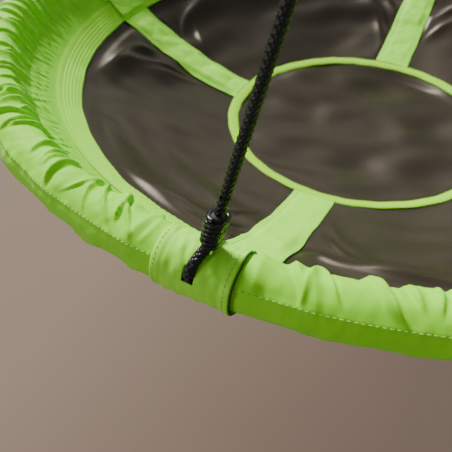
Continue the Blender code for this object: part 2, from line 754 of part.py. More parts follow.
def build_gate(name, sx, mat, root):
    """Straight gate bar, forked over the flattened end of the hook."""
    base = hook_bar(sx) + Vector((sx * HOOK_HALF_W, 0.0, 0.0))
    loops = []
    for height, rad in ((GATE_LOW, 0.0032), (GATE_LOW + 0.0006, 0.0036), (HINGE_Z + 0.0014, 0.0036),
                        (HINGE_Z + 0.0034, 0.0022)):
        loops.append([base + Vector((rad * math.cos(t), 0.0036 * math.sin(t) * min(1.0, rad / 0.0032), height))
                      for t in [2 * math.pi * (i + 0.5) / 10 for i in range(10)]])
    bm = bmesh.new()
    skin_loops(bm, loops)
    obj = add_object(name, bm, mat, root)
    world = (Vector((1, 0, 0)), Vector((0, 1, 0)), Vector((0, 0, 1)))
    slot = box_bmesh(base + Vector((0, 0, HINGE_Z + 0.002)), world, (0.006, 0.0017, 0.0072))
    cut_with(obj, [slot, y_rod(hinge_spot(sx), 0.00135, 0.006, 8)])
    return obj


def build_pin(name, sx, mat, root):
    return add_object(name, y_rod(hinge_spot(sx), 0.0012, 0.0039, 8), mat, root)


# ---------------------------------------------------------------- assembly
def build_rim(mats, pivots):
    saucer = pivots["saucer"]
    for key, base in QUADS.items():
        build_tube("frame_tube_" + key, base - 45.0, mats["steel"], saucer)
        build_screw("frame_screw_" + key, base - 45.0 + SCREW_DEG, mats["zinc"], saucer)
        build_cuff("rope_cuff_" + key, base, mats["cover"], saucer)
        build_strap("seat_strap_" + key, base, mats["webbing"], saucer)
    for key, base in {"right": -45.0, "back": 45.0, "left": 135.0, "front": 225.0}.items():
        build_foam("foam_sleeve_" + key, base, mats["foam"], saucer)
        build_cover("rim_cover_" + key, base, mats["cover"], saucer)


def build_seat_parts(mats, pivots):
    saucer = pivots["saucer"]
    build_seat("seat_mesh", mats["mesh"], saucer)
    build_hem("seat_hem_band", mats["cover"], saucer)
    build_centre_ring("centre_ring_band", mats["webbing"], saucer)


def build_ropes(mats, pivots):
    for key, base in QUADS.items():
        ropes = pivots["ropes_right"] if "right" in key else pivots["ropes_left"]
        build_loop("rim_rope_loop_" + key, base, mats["rope"], pivots["saucer"])
        build_whipping("rope_whipping_" + key, base, mats["sleeve"], pivots["saucer"])
        build_leg("rope_leg_" + key, base, mats["rope"], ropes)
        build_adjuster("rope_adjuster_" + key, base, mats["plastic"], ropes)


def build_hardware(mats, pivots):
    for key, sx in (("right", 1.0), ("left", -1.0)):
        build_hanging_ring("hanging_ring_" + key, sx, mats["zinc"], pivots["ring_" + key])
        build_hook("snap_hook_" + key, sx, mats["zinc"], None)
        build_gate("hook_gate_" + key, sx, mats["zinc"], pivots["gate_" + key])
        build_pin("gate_pin_" + key, sx, mats["steel"], None)


def main():
    for obj in list(bpy.data.objects):
        bpy.data.objects.remove(obj)
    mats = make_materials()
    pivots = {}
    for key, sx in (("right", 1.0), ("left", -1.0)):
        pivots["ring_" + key] = pivot("swing_axis_" + key, hook_bar(sx))
        eye = ring_centre(sx) - Vector((0.0, 0.0, HRING_R * math.cos(ROPE_LEAN)))
        pivots["ropes_" + key] = pivot("sway_axis_" + key, eye)
        pivots["gate_" + key] = pivot("gate_axis_" + key, hinge_spot(sx))
    low = lower_pivot(QUADS["back_left"])
    pivots["saucer"] = pivot("level_axis_left", Vector((low.x, 0.0, low.z)))
    build_rim(mats, pivots)
    build_seat_parts(mats, pivots)
    build_ropes(mats, pivots)
    build_hardware(mats, pivots)


main()
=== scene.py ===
"""Saucer nest swing: fabric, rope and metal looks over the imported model."""
import math

import bmesh
import bpy
import numpy as np
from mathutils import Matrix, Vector


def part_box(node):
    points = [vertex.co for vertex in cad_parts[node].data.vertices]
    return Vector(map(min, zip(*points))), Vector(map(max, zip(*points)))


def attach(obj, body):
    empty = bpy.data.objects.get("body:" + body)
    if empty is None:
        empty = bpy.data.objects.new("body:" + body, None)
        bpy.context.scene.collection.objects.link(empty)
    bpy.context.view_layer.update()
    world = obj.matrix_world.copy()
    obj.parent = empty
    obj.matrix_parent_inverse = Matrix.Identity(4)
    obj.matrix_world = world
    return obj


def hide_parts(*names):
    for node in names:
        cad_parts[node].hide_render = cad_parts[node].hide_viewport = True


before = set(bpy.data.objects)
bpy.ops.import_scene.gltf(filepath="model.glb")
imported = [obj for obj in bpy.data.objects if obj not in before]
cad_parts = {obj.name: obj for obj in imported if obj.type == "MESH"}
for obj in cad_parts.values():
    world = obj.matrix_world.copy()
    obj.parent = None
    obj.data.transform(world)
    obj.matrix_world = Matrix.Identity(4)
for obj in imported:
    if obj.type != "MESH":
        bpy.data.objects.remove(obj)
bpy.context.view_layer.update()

# ---------------------------------------------------------------- sizes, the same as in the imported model
QUADS = {"front_right": -45.0, "back_right": 45.0, "back_left": 135.0, "front_left": 225.0}
PANELS = {"right": -45.0, "back": 45.0, "left": 135.0, "front": 225.0}
TUBE_LOW, TUBE_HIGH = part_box("frame_tube_front_right")
RIM_Z = (TUBE_LOW.z + TUBE_HIGH.z) / 2
RIM_R = 0.478               # centre line of the rim tube
PAD_R = 0.0211              # outside of the padded rim, and of a cuff over it
CUFF_R = 0.0224
CLOTH_T = 0.003
COVER_THICK, SEAT_THICK, STRAP_THICK, SLEEVE_THICK = 0.0007, 0.0011, 0.0009, 0.0003
SEAT_DEPTH = RIM_Z - CLOTH_T
SEAT_POWER = 2.485          # how the bowl steepens towards the hem
HEM_R = 0.397               # inner edge of the hem band and its drop below the rim centre
HEM_DROP = 0.068
TAIL_DEG = 220.0            # direction of the cover's tail in the rim section, and its reach
TAIL_END = 0.0715
HEM_S = 0.10574             # where the hem band ends, measured along the tail
RING_IN_R = 0.184
RING_OUT_R = 0.199
STRAP_W = 0.055
CUFF_W = 0.0615
ROPE_R = 0.004
ROPE_LEAN = math.radians(15.7)
STRAND_SIDE = 0.0042        # each strand's place beside the whipping's middle
WHIP_OUT = 0.005            # whipping foot: outward of the rim, above it, and towards the swing's middle
WHIP_RISE = 0.0308
WHIP_DRIFT = 0.009
WHIP_LEN = 0.034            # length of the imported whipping, with the lean pivot just above it
PIVOT_GAP = 0.003
SEAM_TURN = 30.0            # outer seam of the cover, as an angle in the rim section
COVER, WEBBING, ROPE = "lime_polyester_cover", "lime_webbing", "black_braided_rope"
BRIGHT_STEEL = "bright_zinc_steel"
UP = np.array([0.0, 0.0, 1.0])
ROUND = 6.2832              # a full turn, where weave is laid round a cord
PHASE = 6.28                # range of the random phases


# ---------------------------------------------------------------- number helpers
def smooth(x, low, high):
    t = np.clip((np.asarray(x, float) - low) / (high - low), 0.0, 1.0)
    return t * t * (3 - 2 * t)


WAVE_COUNT = 14


def waves(x, y, size, seed):
    """Soft random field of about -1..1 with a typical wavelength."""
    rng = np.random.default_rng(seed)
    total = np.zeros(np.broadcast(x, y).shape)
    for _ in range(WAVE_COUNT):
        turn = rng.uniform(0, 2 * math.pi)
        k = 2 * math.pi / (size * rng.uniform(0.6, 1.6))
        total += np.cos(k * (x * math.cos(turn) + y * math.sin(turn)) + rng.uniform(0, PHASE))
    return total / math.sqrt(WAVE_COUNT * 1.6)


def pairs(a, b):
    """Two coordinates spread over one grid."""
    return np.stack(np.broadcast_arrays(a, b), axis=-1)


def unit(v):
    return v / np.maximum(np.linalg.norm(v, axis=-1, keepdims=True), 1e-12)


def spline(points, step):
    """Smooth curve through the points, resampled at an even step."""
    pts = np.asarray(points, float)
    full = np.vstack([2 * pts[0] - pts[1], pts, 2 * pts[-1] - pts[-2]])
    fine = []
    for i in range(1, len(full) - 2):
        p0, p1, p2, p3 = full[i - 1:i + 3]
        t = np.linspace(0, 1, 24, endpoint=False)[:, None]
        fine.append(0.5 * (2 * p1 + (p2 - p0) * t + (2 * p0 - 5 * p1 + 4 * p2 - p3) * t ** 2
                           + (3 * p1 - p0 - 3 * p2 + p3) * t ** 3))
    fine = np.vstack(fine + [full[-2][None]])
    run = arc_run(fine)
    count = max(int(run[-1] / step), 4)
    even = np.linspace(0, run[-1], count + 1)
    return np.stack([np.interp(even, run, fine[:, k]) for k in range(pts.shape[1])], axis=1), even


def arc_run(line):
    """Distance travelled along a line of points."""
    return np.concatenate([[0], np.cumsum(np.linalg.norm(np.diff(line, axis=0), axis=1))])


def circle(count):
    """Even angles once round, without repeating the first."""
    return np.linspace(0, 2 * math.pi, count, endpoint=False)


def polar(base):
    """Outward and sideways unit vectors at an azimuth in degrees."""
    turn = math.radians(base)
    return np.array([math.cos(turn), math.sin(turn), 0.0]), np.array([-math.sin(turn), math.cos(turn), 0.0])


# ---------------------------------------------------------------- mesh helpers
def place(obj, body, slot, *nodes):
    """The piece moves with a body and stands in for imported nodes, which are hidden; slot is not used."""
    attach(obj, body)
    if nodes:
        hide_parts(*nodes)


def place_all(pieces, body, slot, *nodes):
    """The same for several pieces, which together stand in for the nodes."""
    for piece in pieces:
        place(piece, body, slot)
    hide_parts(*nodes)


def make_object(name, verts, faces, mat, uvs=None, smooth_shade=True):
    mesh = bpy.data.meshes.new(name)
    mesh.from_pydata(np.asarray(verts).tolist(), [], faces.tolist() if isinstance(faces, np.ndarray) else faces)
    if smooth_shade:
        mesh.polygons.foreach_set("use_smooth", [True] * len(mesh.polygons))
    if uvs is not None:
        layer = mesh.uv_layers.new(name="metres")
        loops = np.empty(len(mesh.loops), np.int32)
        mesh.loops.foreach_get("vertex_index", loops)
        layer.data.foreach_set("uv", np.asarray(uvs, np.float32)[loops].ravel())
    mesh.materials.append(mat)
    mesh.update()
    return add_to_scene(name, mesh)


def add_to_scene(name, data):
    obj = bpy.data.objects.new(name, data)
    bpy.context.scene.collection.objects.link(obj)
    return obj


def grid_faces(nu, nv, close_u, close_v, keep=None, flip=False):
    """Quads of a grid of points, closed round either way, without the cells that aren't kept."""
    iu = np.arange(nu if close_u else nu - 1)
    iv = np.arange(nv if close_v else nv - 1)
    a, b = np.meshgrid(iu, iv, indexing="ij")
    if keep is not None:
        a, b = a[keep[:a.shape[0], :a.shape[1]]], b[keep[:b.shape[0], :b.shape[1]]]
    a, b = a.ravel(), b.ravel()
    a2, b2 = (a + 1) % nu, (b + 1) % nv
    faces = np.stack([a * nv + b, a2 * nv + b, a2 * nv + b2, a * nv + b2], axis=1)
    return faces[:, ::-1] if flip else faces


def grid_object(name, points, mat, uv=None, close_u=False, close_v=False, keep=None, flip=False):
    nu, nv = points.shape[:2]
    uvs = None if uv is None else uv.reshape(-1, 2)
    faces = grid_faces(nu, nv, close_u, close_v, keep, flip)
    return make_object(name, points.reshape(-1, 3), faces, mat, uvs)


def thicken(obj, depth, offset=-1.0):
    mod = obj.modifiers.new("thickness", "SOLIDIFY")
    mod.thickness = depth
    mod.offset = offset


def ring_angles(sides):
    return 2 * math.pi * (np.arange(sides) + 0.5) / sides


def path_frames(path, hint):
    """Two directions square to the path at each point, carried along it without twist."""
    tan = unit(np.gradient(path, axis=0))
    side = np.zeros_like(path)
    current = np.asarray(hint, float)
    for i in range(len(path)):
        current = current - tan[i] * current.dot(tan[i])
        current = current / max(np.linalg.norm(current), 1e-9)
        side[i] = current
    return side, np.cross(tan, side)


def sweep_tubes(name, paths, radius, sides, mat, side_hint=(0.3, 0.2, 0.9), caps=True):
    """Round threads or cords along many paths, as one object."""
    verts = []
    faces = []
    uvs = []
    base = 0
    ring = ring_angles(sides)
    for path in paths:
        path = np.asarray(path, float)
        n = len(path)
        side, up = path_frames(path, side_hint)
        rad = radius if np.ndim(radius) == 0 else np.asarray(radius)[:, None, None]
        spoke = side[:, None, :] * np.cos(ring)[None, :, None] + up[:, None, :] * np.sin(ring)[None, :, None]
        pts = path[:, None, :] + spoke * rad
        run = arc_run(path)
        verts.append(pts.reshape(-1, 3))
        uvs.append(pairs(run[:, None], ring[None, :] / ROUND).reshape(-1, 2))
        faces.append(grid_faces(n, sides, False, True, flip=True) + base)
        if caps:
            ends = np.array([np.arange(sides)[::-1], (n - 1) * sides + np.arange(sides)])
            faces.append(base + ends)
        base += n * sides
    all_faces = [face for group in faces for face in group.tolist()]
    return make_object(name, np.vstack(verts), all_faces, mat, np.vstack(uvs))


# one stitch: length, gap to the next, radius of the thread, lift off the cloth
SEAM_STITCH = (0.0031, 0.0012, 0.00036, 0.0001)
HEM_STITCH = (0.0032, 0.0011, 0.00030, 0.0001)
RING_STITCH = (0.0028, 0.0010, 0.00028, 0.0001)
STRAP_STITCH = (0.0028, 0.0011, 0.00030, 0.0005)


def stitches(name, slot, lines, normals, kind):
    """Rows of thread: short bowed stitches along each line, standing on the cloth."""
    length, gap, thread, lift = kind
    verts = []
    faces = []
    base = 0
    for line, nor in zip(lines, normals):
        line = np.asarray(line, float)
        nor = unit(np.asarray(nor, float))
        run = arc_run(line)
        starts = np.arange(gap / 2, run[-1] - length, length + gap)
        if len(starts) == 0:
            continue
        marks = starts[:, None] + np.linspace(0, length, 4)[None, :]
        pos = np.stack([np.interp(marks, run, line[:, k]) for k in range(3)], axis=-1)
        out = unit(np.stack([np.interp(marks, run, nor[:, k]) for k in range(3)], axis=-1))
        bow = np.array([-0.35, 0.75, 0.75, -0.35]) * thread + lift
        pos = pos + out * bow[None, :, None]
        tan = unit(pos[:, -1] - pos[:, 0])[:, None, :]
        side = unit(np.cross(tan, out))
        size = np.array([0.6, 1.0, 1.0, 0.6])[None, :, None, None] * thread
        corner = np.array([[1, 0], [0, 1], [-1, 0], [0, -1]], float)
        ring = side[:, :, None, :] * corner[None, None, :, :1] + out[:, :, None, :] * corner[None, None, :, 1:]
        pts = pos[:, :, None, :] + ring * size
        n = len(starts)
        verts.append(pts.reshape(-1, 3))
        one = np.vstack([grid_faces(4, 4, False, True), [[0, 1, 2, 3], [15, 14, 13, 12]]])
        faces.append((one[None] + (np.arange(n) * 16)[:, None, None]).reshape(-1, 4) + base)
        base += n * 16
    place(make_object(name, np.vstack(verts), np.vstack(faces), MATS["thread"]), "saucer", slot)


# ---------------------------------------------------------------- materials
def shaded(colour, factor):
    return tuple(c * factor for c in colour)


class Nodes:
    """Small helper for writing node trees in a few lines."""

    def __init__(self, name):
        self.mat = bpy.data.materials.new(name)
        self.mat.use_nodes = True
        self.tree = self.mat.node_tree
        self.bsdf = self.tree.nodes["Principled BSDF"]
        coord = self.tree.nodes.new("ShaderNodeTexCoord")
        self.place, self.uv = coord.outputs["Object"], coord.outputs["UV"]

    def add(self, kind, **values):
        node = self.tree.nodes.new(kind)
        for key, value in values.items():
            node.inputs[key].default_value = value
        return node

    def link(self, a, b):
        self.tree.links.new(a, b)

    def set(self, **values):
        """Shader inputs: a number, a colour, or a socket to link."""
        for key, value in values.items():
            socket = self.bsdf.inputs[key.replace("_", " ")]
            if isinstance(value, bpy.types.NodeSocket):
                self.link(value, socket)
            else:
                socket.default_value = value

    def scaled(self, value, factor, offset=0.0):
        product = self.math("MULTIPLY", value, factor)
        return self.math("ADD", product, offset) if offset else product

    def math(self, op, a, b=None):
        node = self.tree.nodes.new("ShaderNodeMath")
        node.operation = op
        for i, value in enumerate((a, b)):
            if value is None:
                continue
            if isinstance(value, (int, float)):
                node.inputs[i].default_value = value
            else:
                self.link(value, node.inputs[i])
        return node.outputs[0]

    def mix(self, fac, a, b):
        node = self.tree.nodes.new("ShaderNodeMix")
        node.data_type = "RGBA"
        for socket, value in ((node.inputs[0], fac), (node.inputs[6], a), (node.inputs[7], b)):
            if isinstance(value, (int, float)):
                socket.default_value = value
            elif isinstance(value, tuple):
                socket.default_value = (*value, 1.0)
            else:
                self.link(value, socket)
        return node.outputs[2]

    def noise(self, vector, scale, detail, rough=0.5):
        node = self.add("ShaderNodeTexNoise", Scale=scale, Detail=detail, Roughness=rough)
        self.link(vector, node.inputs["Vector"])
        return node.outputs["Fac"]

    def bump(self, height, strength, distance, after=None):
        node = self.add("ShaderNodeBump", Strength=strength, Distance=distance)
        self.link(height, node.inputs["Height"])
        if after is not None:
            self.link(after, node.inputs["Normal"])
        return node.outputs["Normal"]

    def weave(self, vector, period, turn=0.0):
        """Over-and-under weave height of 0..1 from two crossed sets of threads."""
        mapping = self.add("ShaderNodeMapping", Rotation=(0, 0, turn))
        self.link(vector, mapping.inputs["Vector"])
        split = self.add("ShaderNodeSeparateXYZ")
        self.link(mapping.outputs[0], split.inputs[0])
        k = math.pi / period
        warp = self.math("SINE", self.math("MULTIPLY", split.outputs[0], k))
        weft = self.math("SINE", self.math("MULTIPLY", split.outputs[1], k))
        return self.scaled(self.math("MULTIPLY", warp, weft), 0.5, 0.5)


def fabric(name, colour, dark, rough, period, sheen, bump=0.00016):
    """Woven cloth: threads, slow random tone changes, raised threads painted lighter than the weave's hollows
    as painted highlight and shade, and soft sheen.
    """
    m = Nodes(name)
    weave = m.weave(m.uv, period)
    slow = m.noise(m.place, 9.0, 3.0)
    fine = m.noise(m.place, 420.0, 2.0, 0.6)
    base = m.mix(m.math("ADD", m.scaled(slow, 0.55), m.scaled(fine, 0.35)), dark, colour)
    crease = m.bump(m.noise(m.place, 55.0, 4.0, 0.55), 0.45, 0.0012)
    # raised threads are painted lighter than the hollows of the weave: painted highlight and shade
    m.set(Base_Color=m.mix(m.scaled(weave, 0.25), base, tuple(min(1.0, c * 1.15) for c in colour)),
          Roughness=m.scaled(fine, 0.12, rough - 0.06), Normal=m.bump(weave, 0.8, bump, crease),
          Sheen_Weight=sheen, Sheen_Roughness=0.4, Specular_IOR_Level=0.20)
    return m.mat


def seat_cloth(name):
    """Dark satin mesh cloth: fine crossed threads with bright flecks where they catch the light."""
    m = Nodes(name)
    weave = m.weave(m.place, 0.0009, math.radians(12))
    slow = m.noise(m.place, 14.0, 3.0)
    fleck = m.noise(m.place, 900.0, 2.0, 0.7)
    base = m.mix(slow, (0.008, 0.0058, 0.0042), (0.015, 0.0112, 0.0082))
    m.set(Base_Color=m.mix(m.math("MULTIPLY", weave, fleck), base, (0.060, 0.047, 0.035)),
          Roughness=m.scaled(fleck, 0.14, 0.30), Normal=m.bump(weave, 0.32, 0.00018),
          Specular_IOR_Level=0.25, Specular_Tint=(1.0, 0.86, 0.72, 1.0))
    return m.mat


def thread_material(name, colour):
    m = Nodes(name)
    fine = m.noise(m.place, 1500.0, 2.0)
    m.set(Base_Color=m.mix(fine, shaded(colour, 0.75), colour), Normal=m.bump(fine, 0.5, 0.00006),
          Roughness=0.6, Sheen_Weight=0.3)
    return m.mat


def rope_material(name):
    """Black multifilament yarn: fine filaments along each strand, grey glints, dusty wear."""
    m = Nodes(name)
    mapping = m.add("ShaderNodeMapping", Scale=(900.0, 14.0, 1.0))
    m.link(m.uv, mapping.inputs["Vector"])
    fil = m.noise(mapping.outputs[0], 1.0, 3.0, 0.6)
    dust = m.noise(m.place, 130.0, 3.0, 0.6)
    base = m.mix(fil, (0.0012, 0.0012, 0.0014), (0.009, 0.009, 0.010))
    m.set(Base_Color=m.mix(m.scaled(m.math("POWER", dust, 4.0), 0.5), base, (0.09, 0.08, 0.075)),
          Roughness=m.scaled(fil, 0.22, 0.24), Normal=m.bump(fil, 0.5, 0.00015), Specular_IOR_Level=0.36)
    return m.mat


def plastic(name, colour, rough, grain=900.0):
    m = Nodes(name)
    slow = m.noise(m.place, 60.0, 3.0)
    m.set(Base_Color=m.mix(slow, shaded(colour, 0.7), shaded(colour, 1.4)),
          Roughness=m.scaled(slow, 0.2, rough - 0.1), Normal=m.bump(m.noise(m.place, grain, 2.0), 0.25, 0.0001))
    return m.mat


def zinc(name, colour, rough, spangle):
    """Zinc-plated steel: cloudy plating, fine scratches, duller worn patches."""
    m = Nodes(name)
    cell = m.add("ShaderNodeTexVoronoi", Scale=spangle)
    m.link(m.place, cell.inputs["Vector"])
    split = m.add("ShaderNodeSeparateColor")
    m.link(cell.outputs["Color"], split.inputs[0])
    cloud = m.noise(m.place, 90.0, 4.0)
    scratch = m.noise(m.place, 1400.0, 2.0)
    mixed = m.math("ADD", m.scaled(split.outputs[0], 0.4), m.scaled(cloud, 0.6))
    m.set(Base_Color=m.mix(mixed, shaded(colour, 0.62), colour), Roughness=m.scaled(mixed, 0.28, rough - 0.12),
          Normal=m.bump(scratch, 0.15, 0.00005), Metallic=1.0)
    return m.mat


def foam_material(name):
    m = Nodes(name)
    cell = m.add("ShaderNodeTexVoronoi", Scale=700.0)
    m.link(m.place, cell.inputs["Vector"])
    pores = cell.outputs["Distance"]
    # darker at the pore centres, where the bump is lowest: painted shade in the pores
    m.set(Base_Color=m.mix(pores, (0.30, 0.31, 0.32), (0.46, 0.47, 0.48)), Normal=m.bump(pores, 0.6, 0.0003),
          Roughness=0.9)
    return m.mat


def clear_sleeve(name):
    """Clear heat-shrunk sleeve: thin, glossy, slightly smoky, with fine drawing lines."""
    m = Nodes(name)
    m.set(Normal=m.bump(m.noise(m.place, 260.0, 2.0), 0.12, 0.0002), Base_Color=(0.05, 0.05, 0.05, 1),
          Roughness=0.09, Alpha=0.05, Specular_IOR_Level=0.4)
    return m.mat


LIME = (0.300, 0.800, 0.018)
LIME_DARK = (0.215, 0.680, 0.012)
MATS = {
    "cover": fabric("cover_cloth", LIME, LIME_DARK, 0.62, 0.00062, 0.10),
    # the hem and strap are the cover's own cloth; their lighter colours are painted light for their lit,
    # upward-facing places
    "hem": fabric("hem_cloth", (0.36, 0.87, 0.020), (0.28, 0.76, 0.014), 0.6, 0.00062, 0.10),
    "strap": fabric("strap_cloth", (0.36, 0.90, 0.040), (0.29, 0.80, 0.030), 0.58, 0.00070, 0.12),
    "ring": fabric("ring_webbing", (0.36, 0.78, 0.004), (0.29, 0.68, 0.003), 0.55, 0.0011, 0.10, 0.0003),
    "thread": thread_material("green_thread", (0.32, 0.66, 0.045)),
    "seat": seat_cloth("seat_cloth"),
    "rope": rope_material("rope_yarn"),
    "core": plastic("rope_core", (0.004, 0.004, 0.0045), 0.7),
    "cord": plastic("whipping_cord", (0.004, 0.004, 0.0045), 0.26, 1500.0),
    "sleeve": clear_sleeve("clear_sleeve"),
    "block": plastic("adjuster_nylon", (0.016, 0.016, 0.017), 0.45),
    "steel": zinc("rim_tube_zinc", (0.62, 0.63, 0.64), 0.42, 160.0),
    "bright": zinc("hook_zinc", (0.74, 0.75, 0.78), 0.30, 420.0),
    "foam": foam_material("foam_cells"),
    # black for the tube that paints the shade in the gap beside each cuff
    "gap": plastic("gap_painted_shade", (0.004, 0.004, 0.004), 0.8),
}


# ---------------------------------------------------------------- shapes shared by the soft goods
def seat_z(radius):
    """Height of the cloth's top: a bowl, flat in the very middle."""
    return CLOTH_T + (SEAT_DEPTH - HEM_DROP) * (np.maximum(radius, 0.02) / HEM_R) ** SEAT_POWER


TAIL_COS, TAIL_SIN = math.cos(math.radians(TAIL_DEG)), math.sin(math.radians(TAIL_DEG))


def tail_point(distance, offset):
    """Point in the rim section, along the tail and square to it (offset positive upward)."""
    return (TAIL_COS * distance + TAIL_SIN * offset, TAIL_SIN * distance - TAIL_COS * offset)


def arc_point(turn, radius):
    return (radius * math.cos(math.radians(turn)), radius * math.sin(math.radians(turn)))


TAIL_HALF = 0.0019          # half the thickness of the two-layer tail
TAIL_ROWS = ((TAIL_END + 0.0025, 0.0), (0.0620, 0.0002), (0.0500, 0.0008), (0.0400, 0.0021), (0.0340, 0.0036))
PAD_TURNS = (156, 140, 120, 100, 80, 60, 40, 20, 0, -20, -40, -60, -76)
SECTION_STEP = 0.0012


def pad_section():
    """Section of the cover from the hem, over the pad and back below, at an even step."""
    points = [tail_point(distance, TAIL_HALF + rise) for distance, rise in TAIL_ROWS]
    points += [arc_point(turn, PAD_R) for turn in PAD_TURNS]
    points += [tail_point(distance, -TAIL_HALF - rise) for distance, rise in TAIL_ROWS[::-1]]
    return spline(points, SECTION_STEP)


def lifted(section, normal, lift):
    """Section coordinates moved out along their normals, for a whole grid of lifts."""
    return section[None, :, 0] + normal[None, :, 0] * lift, section[None, :, 1] + normal[None, :, 1] * lift


def section_normals(section, sign=1.0):
    tan = unit(np.gradient(section, axis=0))
    return np.stack([-tan[:, 1], tan[:, 0]], axis=1) * sign


def around(phi_deg, section_x, section_z):
    """Section coordinates at an azimuth to a point in space."""
    phi = np.radians(phi_deg)
    r = RIM_R + section_x
    return np.stack(np.broadcast_arrays(r * np.cos(phi), r * np.sin(phi), RIM_Z + section_z), axis=-1)


def turn_of(section):
    return np.degrees(np.arctan2(section[:, 1], section[:, 0]))


def seam_run(section, run, turn):
    """Arc length at which the section passes an angle on its outer side."""
    turns = turn_of(section)
    outer = (turns < 120) & (turns > -80)
    order = np.argsort(-turns[outer])
    return float(np.interp(-turn, -turns[outer][order], run[outer][order]))


# ---------------------------------------------------------------- gathered rim cover
CREST = 0.0062              # tallest a pucker stands
FIRST_PUCKER, LAST_PUCKER = 0.014, 0.012        # clear of the panel's two ends
PUCKER_STEP = (0.0095, 0.0185)
TALL_PUCKER, LOW_PUCKER = (0.0030, 0.0052), (0.0018, 0.0032)
PUCKER_WIDTH = (0.0022, 0.0036)
PLEAT = 0.0062              # spacing of the fine pleats at the hem


def gather_field(arc, run, length, seed, seam):
    """Puckers gathered at the hem seam, crossing the pad and dying out at the outer seam."""
    rng = np.random.default_rng(seed)
    field = np.zeros(np.broadcast(arc, run).shape)
    start = 0.006
    pos = FIRST_PUCKER
    while pos < length - LAST_PUCKER:
        big = rng.random()
        reach = (seam - start) * (rng.uniform(0.88, 1.0) if big > 0.30 else rng.uniform(0.66, 0.86))
        tall = rng.uniform(*TALL_PUCKER) if big > 0.25 else rng.uniform(*LOW_PUCKER)
        lean = rng.normal(0.24, 0.16)
        bend = rng.normal(1.0, 2.2)
        wide = rng.uniform(*PUCKER_WIDTH)
        away = np.clip(run - start, 0, None)
        centre = pos + lean * away + bend * away ** 2 + 0.0010 * np.sin(away * 150 + pos * 900)
        share = away / reach
        width = wide * (0.55 + 1.0 * np.sin(np.clip(share, 0, 1) * math.pi))
        sign = 1.0 if rng.random() < 0.72 else -1.0
        d = (arc - centre) / width * sign
        ridge = np.where(d > 0, np.exp(-(np.abs(d) * 2.0) ** 1.25), np.exp(-(np.abs(d) * 0.80) ** 1.4))
        dent = np.exp(-((d - 1.2) / 0.65) ** 2)
        rise = 0.25 * smooth(run, start, start + 0.016) + 0.75 * smooth(run, start + 0.020, start + 0.062)
        fall = 1.0 - smooth(run, start + reach * 0.84, start + reach)
        field += tall * (ridge - 0.24 * dent) * rise * fall
        pos += rng.uniform(*PUCKER_STEP)
    pleat = np.sin(arc * 2 * math.pi / PLEAT + 2.2 * waves(arc, run, 0.05, seed + 1))
    field += 0.00045 * pleat * smooth(run, 0.002, 0.006) * (1 - smooth(run, 0.022, 0.050))
    # neighbouring puckers press together instead of piling up
    return np.where(field > 0, CREST * np.tanh(field / CREST), field)


LEAST_LIFT = 0.0012         # how far the cover may sink towards the foam
CUFF_HALF_DEG = 3.05        # the panel starts under the cuff's edge
COVER_STEP = 0.00125


def cover_panel(key, base):
    section, run = pad_section()
    normal = section_normals(section)
    seam = seam_run(section, run, SEAM_TURN)
    start, end = base + CUFF_HALF_DEG, base + 90 - CUFF_HALF_DEG
    count = int(math.radians(end - start) * RIM_R / COVER_STEP)
    phi = np.linspace(start, end, count)
    arc = np.radians(phi - start) * RIM_R
    length = arc[-1]
    a, s = np.meshgrid(arc, run, indexing="ij")
    seed = 100 + int(base) % 360
    edge = smooth(a, 0.006, 0.030) * (1 - smooth(a, length - 0.030, length - 0.006))
    lift = gather_field(a, s, length, seed, seam) * edge
    lift += 0.0011 * waves(a, s, 0.055, seed + 2) * smooth(s, 0.02, 0.05) * edge
    lift += 0.0005 * waves(a, s, 0.016, seed + 3) * smooth(s, 0.01, 0.03) * edge
    # long slack folds beside each cuff
    beside_cuffs = ((0.013, 0.05, 0.0022), (length - 0.016, -0.12, 0.0020), (0.034, 0.3, 0.0020))
    for mid, lean, tall in beside_cuffs:
        d = (a - mid - lean * (s - 0.03)) / 0.0045
        lift += tall * np.exp(-np.abs(d) ** 1.5) * smooth(s, 0.012, 0.04) * (1 - smooth(s, seam - 0.012, seam))
    # outer seam: the upper piece is turned under and stands a little proud of the lower one
    d = (s - seam) / 0.0026
    pucker = waves(a, 0 * s, 0.008, seed + 5)
    turned = 0.0006 * np.exp(-(d + 1.2) ** 2) - 0.0009 * np.exp(-(d * 1.8) ** 2)
    lift += turned - 0.0005 * smooth(s, seam, seam + 0.002)
    lift += 0.00030 * pucker * np.exp(-(d * 0.45) ** 2) * edge
    # below the seam the cloth hangs in long slanting sags
    under = smooth(s, seam + 0.003, seam + 0.016)
    sag = waves(a * 0.55 + s * 0.5, s * 1.2, 0.034, seed + 4)
    lift += under * edge * (0.0019 * np.abs(sag) ** 0.8 * np.sign(sag) - 0.0003)
    lift = np.where(lift < 0, -LEAST_LIFT * np.tanh(-lift / LEAST_LIFT), lift)
    points = around(phi[:, None], *lifted(section, normal, lift))
    uv = np.stack([a, s], axis=-1)
    obj = grid_object("cover_" + key, points, MATS["cover"], uv, flip=True)
    thicken(obj, COVER_THICK)
    place(obj, "saucer", COVER, "rim_cover_" + key)
    col = int(np.argmin(np.abs(run - (seam - 0.0030))))
    out = unit(points[:, col] - around(phi, 0.0, 0.0))
    stitches("cover_seam_" + key, COVER, [points[4:-4, col]], [out[4:-4]], SEAM_STITCH)


# ---------------------------------------------------------------- hem band
def hem_shape():
    """Section of the hem: a flat band with a rounded inner edge."""
    top = [(TAIL_END - 0.001, 0.0030), (TAIL_END + 0.003, 0.0030), (TAIL_END + 0.006, 0.0027),
           (HEM_S - 0.004, 0.0027), (HEM_S - 0.001, 0.0025), (HEM_S + 0.0002, 0.0016)]
    low = [(HEM_S - 0.0008, 0.0003), (HEM_S - 0.004, 0.0001), (HEM_S - 0.020, 0.0001), (TAIL_END, 0.0001)]
    return spline([tail_point(s, o) for s, o in top + low], 0.0009)[0]


HEM_ROWS = (0.0785, 0.0832, 0.0879, 0.0926, 0.0973, 0.1015)


